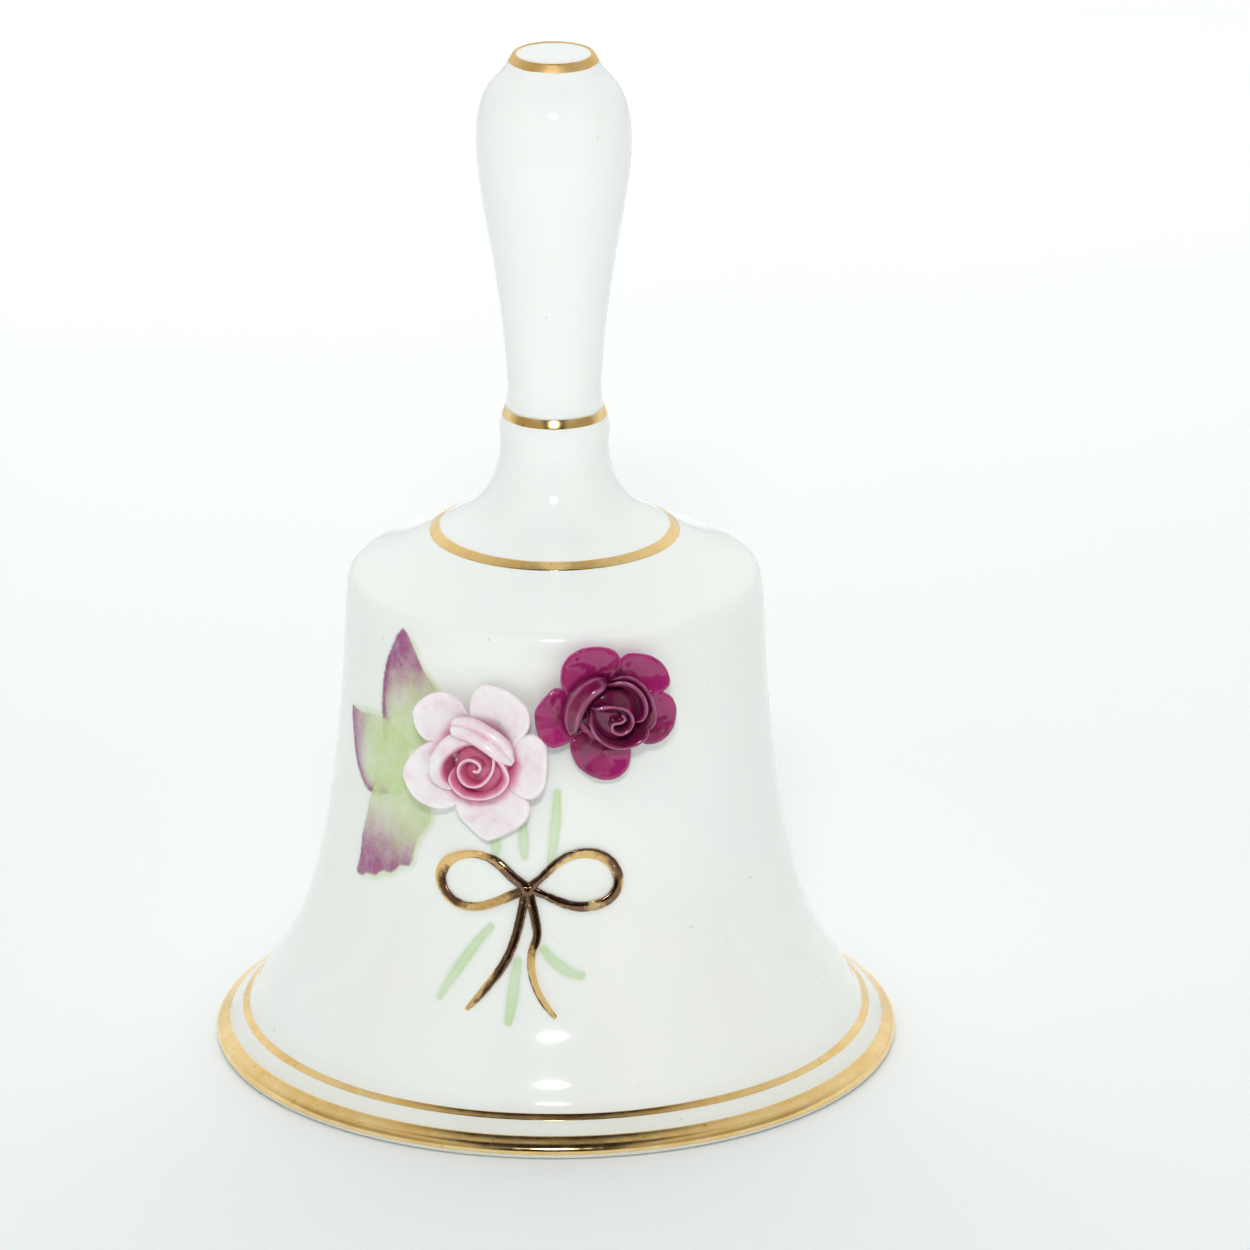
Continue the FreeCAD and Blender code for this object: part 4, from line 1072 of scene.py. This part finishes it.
# Leaf outlines as (turn, height), tip first. axis runs from the tip to the root, tip is how far down it the
# mauve reaches, and line the part of the outline (as shares of it) that has a mauve edge.
LEAVES = {
    "upper": dict(
        outline=[(-45.4, 53.6), (-48.4, 52.0), (-51.0, 49.8), (-52.6, 47.5), (-53.1, 44.6), (-52.4, 41.8),
                 (-51.3, 40.3), (-46.0, 39.6), (-36.0, 41.5), (-31.0, 45.5), (-33.0, 47.9), (-36.4, 49.2),
                 (-40.0, 51.2), (-42.6, 52.7)],
        axis=[(-50.5, 52.6), (-40.0, 42.0)], tip=0.40, line=(0.02, 0.42)),
    "left": dict(
        outline=[(-70.0, 41.8), (-68.8, 40.0), (-66.9, 38.2), (-64.4, 36.3), (-60.9, 34.8), (-56.5, 33.8),
                 (-50.0, 34.2), (-43.0, 35.0), (-43.0, 40.5), (-51.0, 42.6), (-55.5, 42.7), (-61.0, 42.2),
                 (-66.0, 41.9)],
        axis=[(-70.5, 40.0), (-53.0, 38.6)], tip=0.34, line=(0.0, 0.42)),
    "lower": dict(
        outline=[(-57.4, 24.3), (-57.5, 26.1), (-57.6, 28.4), (-56.8, 30.6), (-55.8, 33.0), (-52.0, 36.0),
                 (-44.0, 37.0), (-36.0, 35.5), (-33.2, 33.2), (-36.5, 30.7), (-37.8, 28.9), (-38.9, 27.3),
                 (-42.0, 26.9), (-44.6, 25.9), (-47.5, 25.7), (-50.3, 24.9), (-53.5, 24.7), (-55.5, 24.2)],
        axis=[(-48.0, 24.0), (-46.5, 36.0)], tip=0.38, line=(0.0, 0.0)),
}
# Strokes as (mm right of the middle, height), and half their width.
STEMS = [
    ([(0.35, 37.4), (0.3, 36.0), (0.1, 33.0), (-0.35, 29.8)], 0.62),
    ([(-3.3, 33.8), (-3.3, 32.0), (-3.2, 30.3)], 0.62),
    ([(-6.6, 32.6), (-6.4, 31.5), (-6.3, 30.7)], 0.7),
    ([(-6.9, 22.3), (-8.4, 20.5), (-10.0, 18.2), (-11.4, 16.1), (-12.5, 14.3)], 0.58),
    ([(-3.95, 18.8), (-4.35, 16.6), (-4.6, 14.6), (-5.0, 12.6)], 0.66),
    ([(-1.1, 20.2), (-0.3, 19.2), (0.65, 18.45), (1.8, 17.7), (3.0, 17.35)], 0.62),
]


def paint_leaves():
    """Three leaves: a pale green wash past their edges, then sage, green, mauve tips and mauve edges."""
    work = Painting((-76.0, -24.0), (21.5, 55.5))
    coarse = grain(work.flat, 0.55, 3.1)
    fine = grain(work.flat, 2.2, 8.4)
    streak = grain(work.flat * np.array([1.0, 0.4]), 1.6, 5.0)
    dots = smoothstep(grain(work.flat, 3.2, 11.0), 0.42, 0.50)
    drawn = []
    for leaf in LEAVES.values():
        line = smooth_curve(to_flat(*np.array(leaf["outline"]).T), 160, closed=True)
        gap, place = distance_to(work.flat, line, True)
        signed = np.where(inside(work.flat, line), gap, -gap) + 0.10 * fine
        drawn.append((leaf, place, signed))
    for _, place, signed in drawn:
        wash = smoothstep(signed, -0.85, -0.1) * (0.60 + 0.5 * coarse)
        far_side = smoothstep(place, 0.45, 0.6) * (1 - smoothstep(place, 0.94, 1.0))
        work.lay(FRESH_GREEN, wash * far_side * 0.75)
    for leaf, place, signed in drawn:
        tip = leaf["tip"]
        start, end = to_flat(*np.array(leaf["axis"]).T)
        run = ((work.flat - start) @ (end - start)) / ((end - start) @ (end - start))
        body = smoothstep(signed, -0.12, 0.22)
        work.lay(SAGE, body * (0.62 + 0.25 * coarse))
        work.lay(FRESH_GREEN, smoothstep(run, 0.5, 1.0) * body * (0.45 + 0.4 * coarse))
        rosy = 1 - smoothstep(run + 0.10 * coarse + 0.03 * streak, tip - 0.26, tip + 0.30)
        blush = 1 - smoothstep(run + 0.10 * coarse, tip - 0.05, tip + 0.45)
        work.lay(BLUSH, body * blush * 0.55)
        work.lay(MAUVE, body * rosy * (0.88 + 0.12 * streak))
        work.lay(DARK_MAUVE, body * dots * (0.10 + 0.5 * rosy))
        low, high = leaf["line"]
        if high > low:
            span = smoothstep(place, low, low + 0.04) * (1 - smoothstep(place, high - 0.06, high))
            work.lay(DARK_MAUVE, np.exp(-((signed - 0.25) / 0.28) ** 2) * span * 0.9)
            soft = np.exp(-(np.maximum(signed - 0.2, 0) / 0.9) ** 2) * (signed > -0.1)
            work.lay(MAUVE, soft * span * 0.6)
    work.piece("painted_leaves")


def paint_stems():
    """Green strokes with a darker pool of paint along their edges."""
    work = Painting((-32.0, 8.5), (11.5, 38.5))
    fine = grain(work.flat, 1.8, 6.0)
    for centre, half in STEMS:
        path = smooth_curve(centre, 40)
        line = to_flat(turn_at(path[:, 0], path[:, 1]), path[:, 1])
        gap, place = distance_to(work.flat, line, False)
        taper = half * (0.75 + 0.3 * np.sin(np.clip(place, 0.04, 0.96) * math.pi)) + 0.08 * fine
        body = 1 - smoothstep(gap, taper - 0.2, taper + 0.12)
        pool = np.exp(-((gap - taper + 0.22) / 0.18) ** 2) * 0.18
        fade = 0.86 + 0.14 * np.cos(place * 5 + half * 40)
        work.lay(STEM_GREEN, body * (0.70 + pool) * fade)
    work.piece("painted_stems")


# ---- build the object --------------------------------------------------------------------------
bell_shell()
handle_grip()
for name, band in BANDS.items():
    gilt_band(name, *band)
paint_leaves()
paint_stems()
for name, strand in RIBBONS.items():
    ribbon(name, strand)
knot()
rose("pink_rose", PINK_PETALS, PINK_SHEETS, pink_petal, "pink_glaze", 0.45, 1.05, (0.9, -0.2))
rose("crimson_rose", CRIMSON_PETALS, CRIMSON_SHEETS, crimson_petal, "crimson_glaze", 0.4, 0.95, (0.7, 0.0))

KEPT = {"crown_plug": cement, "clapper_eye": brass, "clapper_link": brass, "clapper_wire": brass,
        "clapper_ball": china_plain, "pink_rose_pad": pink_petal, "crimson_rose_pad": crimson_petal}
for name, material in KEPT.items():
    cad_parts[name].material_slots[0].material = material


# ---- stage, lights and camera ------------------------------------------------------------------
PAPER = srgb(248, 250, 250)
PAPER_SHADE = srgb(245, 248, 248)
PAPER_GLOW = srgb(248, 252, 252)
ROOM = srgb(46, 34, 28)
ROOM_DARK = srgb(30, 22, 20)
ROOM_PALE = srgb(235, 225, 205)
FLOOR_FLAT = 2.4            # radius of the flat floor, in metres like everything below
FLOOR_BEND = 0.6            # radius of the curve up at its edge
ROOM_REACH = 1.6
ROOM_TURN = 85              # degrees the room reaches round to each side
ROOM_LIFT = 108             # and up and over


def sweep():
    """A wide round pale floor that curves up at its far edge, brighter away from the bell."""
    make = Nodes("paper")
    away = make.add("ShaderNodeVectorMath", operation="LENGTH")
    make.link(make.place, away.inputs[0])
    make.wire(Base_Color=make.mix(make.ramp(make.noise(3.0), 0.4, 0.6), PAPER, PAPER_SHADE),
              Emission_Strength=make.ramp(away.outputs["Value"], 0.9, 2.2, 0.0, 0.30))
    make.set(Roughness=0.8, Specular_IOR_Level=0.2, Emission_Color=PAPER_GLOW)
    turn = np.linspace(0, math.pi / 2, 13)
    curve = np.column_stack([FLOOR_FLAT + FLOOR_BEND * np.sin(turn), FLOOR_BEND - FLOOR_BEND * np.cos(turn)])
    profile = np.vstack([[(0.2, 0.0), (0.8, 0.0), (1.6, 0.0)], curve])
    faces = [face[::-1] for face in grid_faces(len(profile), ROUND_STEPS, columns_meet=True)]
    faces.append(tuple(range(ROUND_STEPS)))
    new_object("backdrop", turned_points(profile), faces, make.material)


def dark_room():
    """The dim room round the front of the paper, which only the glaze and the gold reflect."""
    make = Nodes("dark_room")
    dim = make.mix(make.ramp(make.noise(5.0), 0.3, 0.7), ROOM, ROOM_DARK)
    make.wire(Base_Color=make.mix(make.attribute("pale"), dim, ROOM_PALE))
    make.set(Roughness=0.9)
    turns = np.radians(np.linspace(-ROOM_TURN, ROOM_TURN, 45))
    level = np.full(len(turns), 0.001)
    rows = [np.column_stack([near * np.sin(turns), -near * np.cos(turns), level]) for near in (0.30, 0.9)]
    for lift in np.radians(np.linspace(0, ROOM_LIFT, 25)):
        front = np.cos(turns)
        arch = np.column_stack([np.sin(turns), -front * math.cos(lift), front * math.sin(lift)])
        rows.append(ROOM_REACH * arch + [0, 0, 0.002])
    points = np.vstack(rows)
    aim = points / np.linalg.norm(points, axis=1)[:, None]
    middle = (1 - smoothstep(np.abs(aim[:, 0]), 0.28, 0.50)) * (1 - smoothstep(aim[:, 1], 0.05, 0.25))
    wings = 0.35 * (1 - smoothstep(aim[:, 2], 0.45, 0.75)) * (1 - smoothstep(aim[:, 1], -0.1, 0.25))
    room = new_object("dark_room", points, grid_faces(len(rows), len(turns)), make.material,
                      {"pale": 1 - np.maximum(middle, wings)})
    room.visible_camera = False
    room.visible_diffuse = False
    room.visible_shadow = False


def light_tent():
    """Soft light from everywhere, brighter behind the bell than in front of it."""
    world = bpy.data.worlds.new("tent")
    world.use_nodes = True
    tree = world.node_tree
    sky = tree.nodes["Background"]
    sky.inputs["Color"].default_value = SKY_COLOUR
    aim = tree.nodes.new("ShaderNodeTexCoord")
    split = tree.nodes.new("ShaderNodeSeparateXYZ")
    fade = tree.nodes.new("ShaderNodeMapRange")
    for key, value in (("From Min", -0.2), ("From Max", 0.8), ("To Min", SKY_FRONT), ("To Max", SKY_BACK)):
        fade.inputs[key].default_value = value
    tree.links.new(aim.outputs["Generated"], split.inputs[0])
    tree.links.new(split.outputs["Y"], fade.inputs["Value"])
    tree.links.new(fade.outputs["Result"], sky.inputs["Strength"])
    bpy.context.scene.world = world


def area_light(name, centre, size, power, towards, reflected):
    """An oval lamp that the camera doesn't see, and that gold and glaze reflect or not."""
    data = bpy.data.lights.new(name, "AREA")
    data.shape = "ELLIPSE"
    data.size, data.size_y = size
    data.energy = power
    lamp = bpy.data.objects.new(name, data)
    bpy.context.scene.collection.objects.link(lamp)
    lamp.location = centre
    lamp.rotation_mode = "QUATERNION"
    lamp.rotation_quaternion = (Vector(towards) - Vector(centre)).to_track_quat("-Z", "Y")
    lamp.visible_camera = False
    lamp.visible_glossy = reflected


SKY_COLOUR = (0.975, 1.0, 0.985, 1.0)
SKY_FRONT = 0.37            # strength of the light tent in front of the bell
SKY_BACK = 0.89             # and behind it
BELL_MIDDLE = (cad_bounds[0] + cad_bounds[1]) / 2
# name: (place, size, watts, aimed at, seen in reflections)
LIGHTS = {
    "flash": ((-0.012, -0.83, 0.585), (0.15, 0.04), 2.7, BELL_MIDDLE, True),
    "overhead": ((0.0, -0.30, 0.75), (0.45, 0.3), 0.82, (0.0, 0.0, 0.10), False),
    "background": ((0.0, 0.40, 0.40), (0.9, 0.2), 1.1, (0.0, 0.36, 0.0), False),
}
sweep()
dark_room()
light_tent()
for name, light in LIGHTS.items():
    area_light(name, *light)

CAMERA_DISTANCE = 1.0
CAMERA_HEIGHT = 0.40807
CAMERA_SIDE = 0.00775
CAMERA_PITCH = math.radians(19.79)
SENSOR = 36.0               # mm
FOCAL_PIXELS = 9593.2
FRAME_PIXELS = 1250         # width of the frame
camera_data = bpy.data.cameras.new("camera")
camera_data.sensor_width = SENSOR
camera_data.lens = FOCAL_PIXELS * SENSOR / FRAME_PIXELS
camera = bpy.data.objects.new("camera", camera_data)
bpy.context.scene.collection.objects.link(camera)
camera.location = (CAMERA_SIDE, -CAMERA_DISTANCE, CAMERA_HEIGHT)
camera.rotation_euler = (math.pi / 2 - CAMERA_PITCH, 0, 0)
bpy.context.scene.camera = camera
bpy.context.scene.view_settings.view_transform = "Standard"
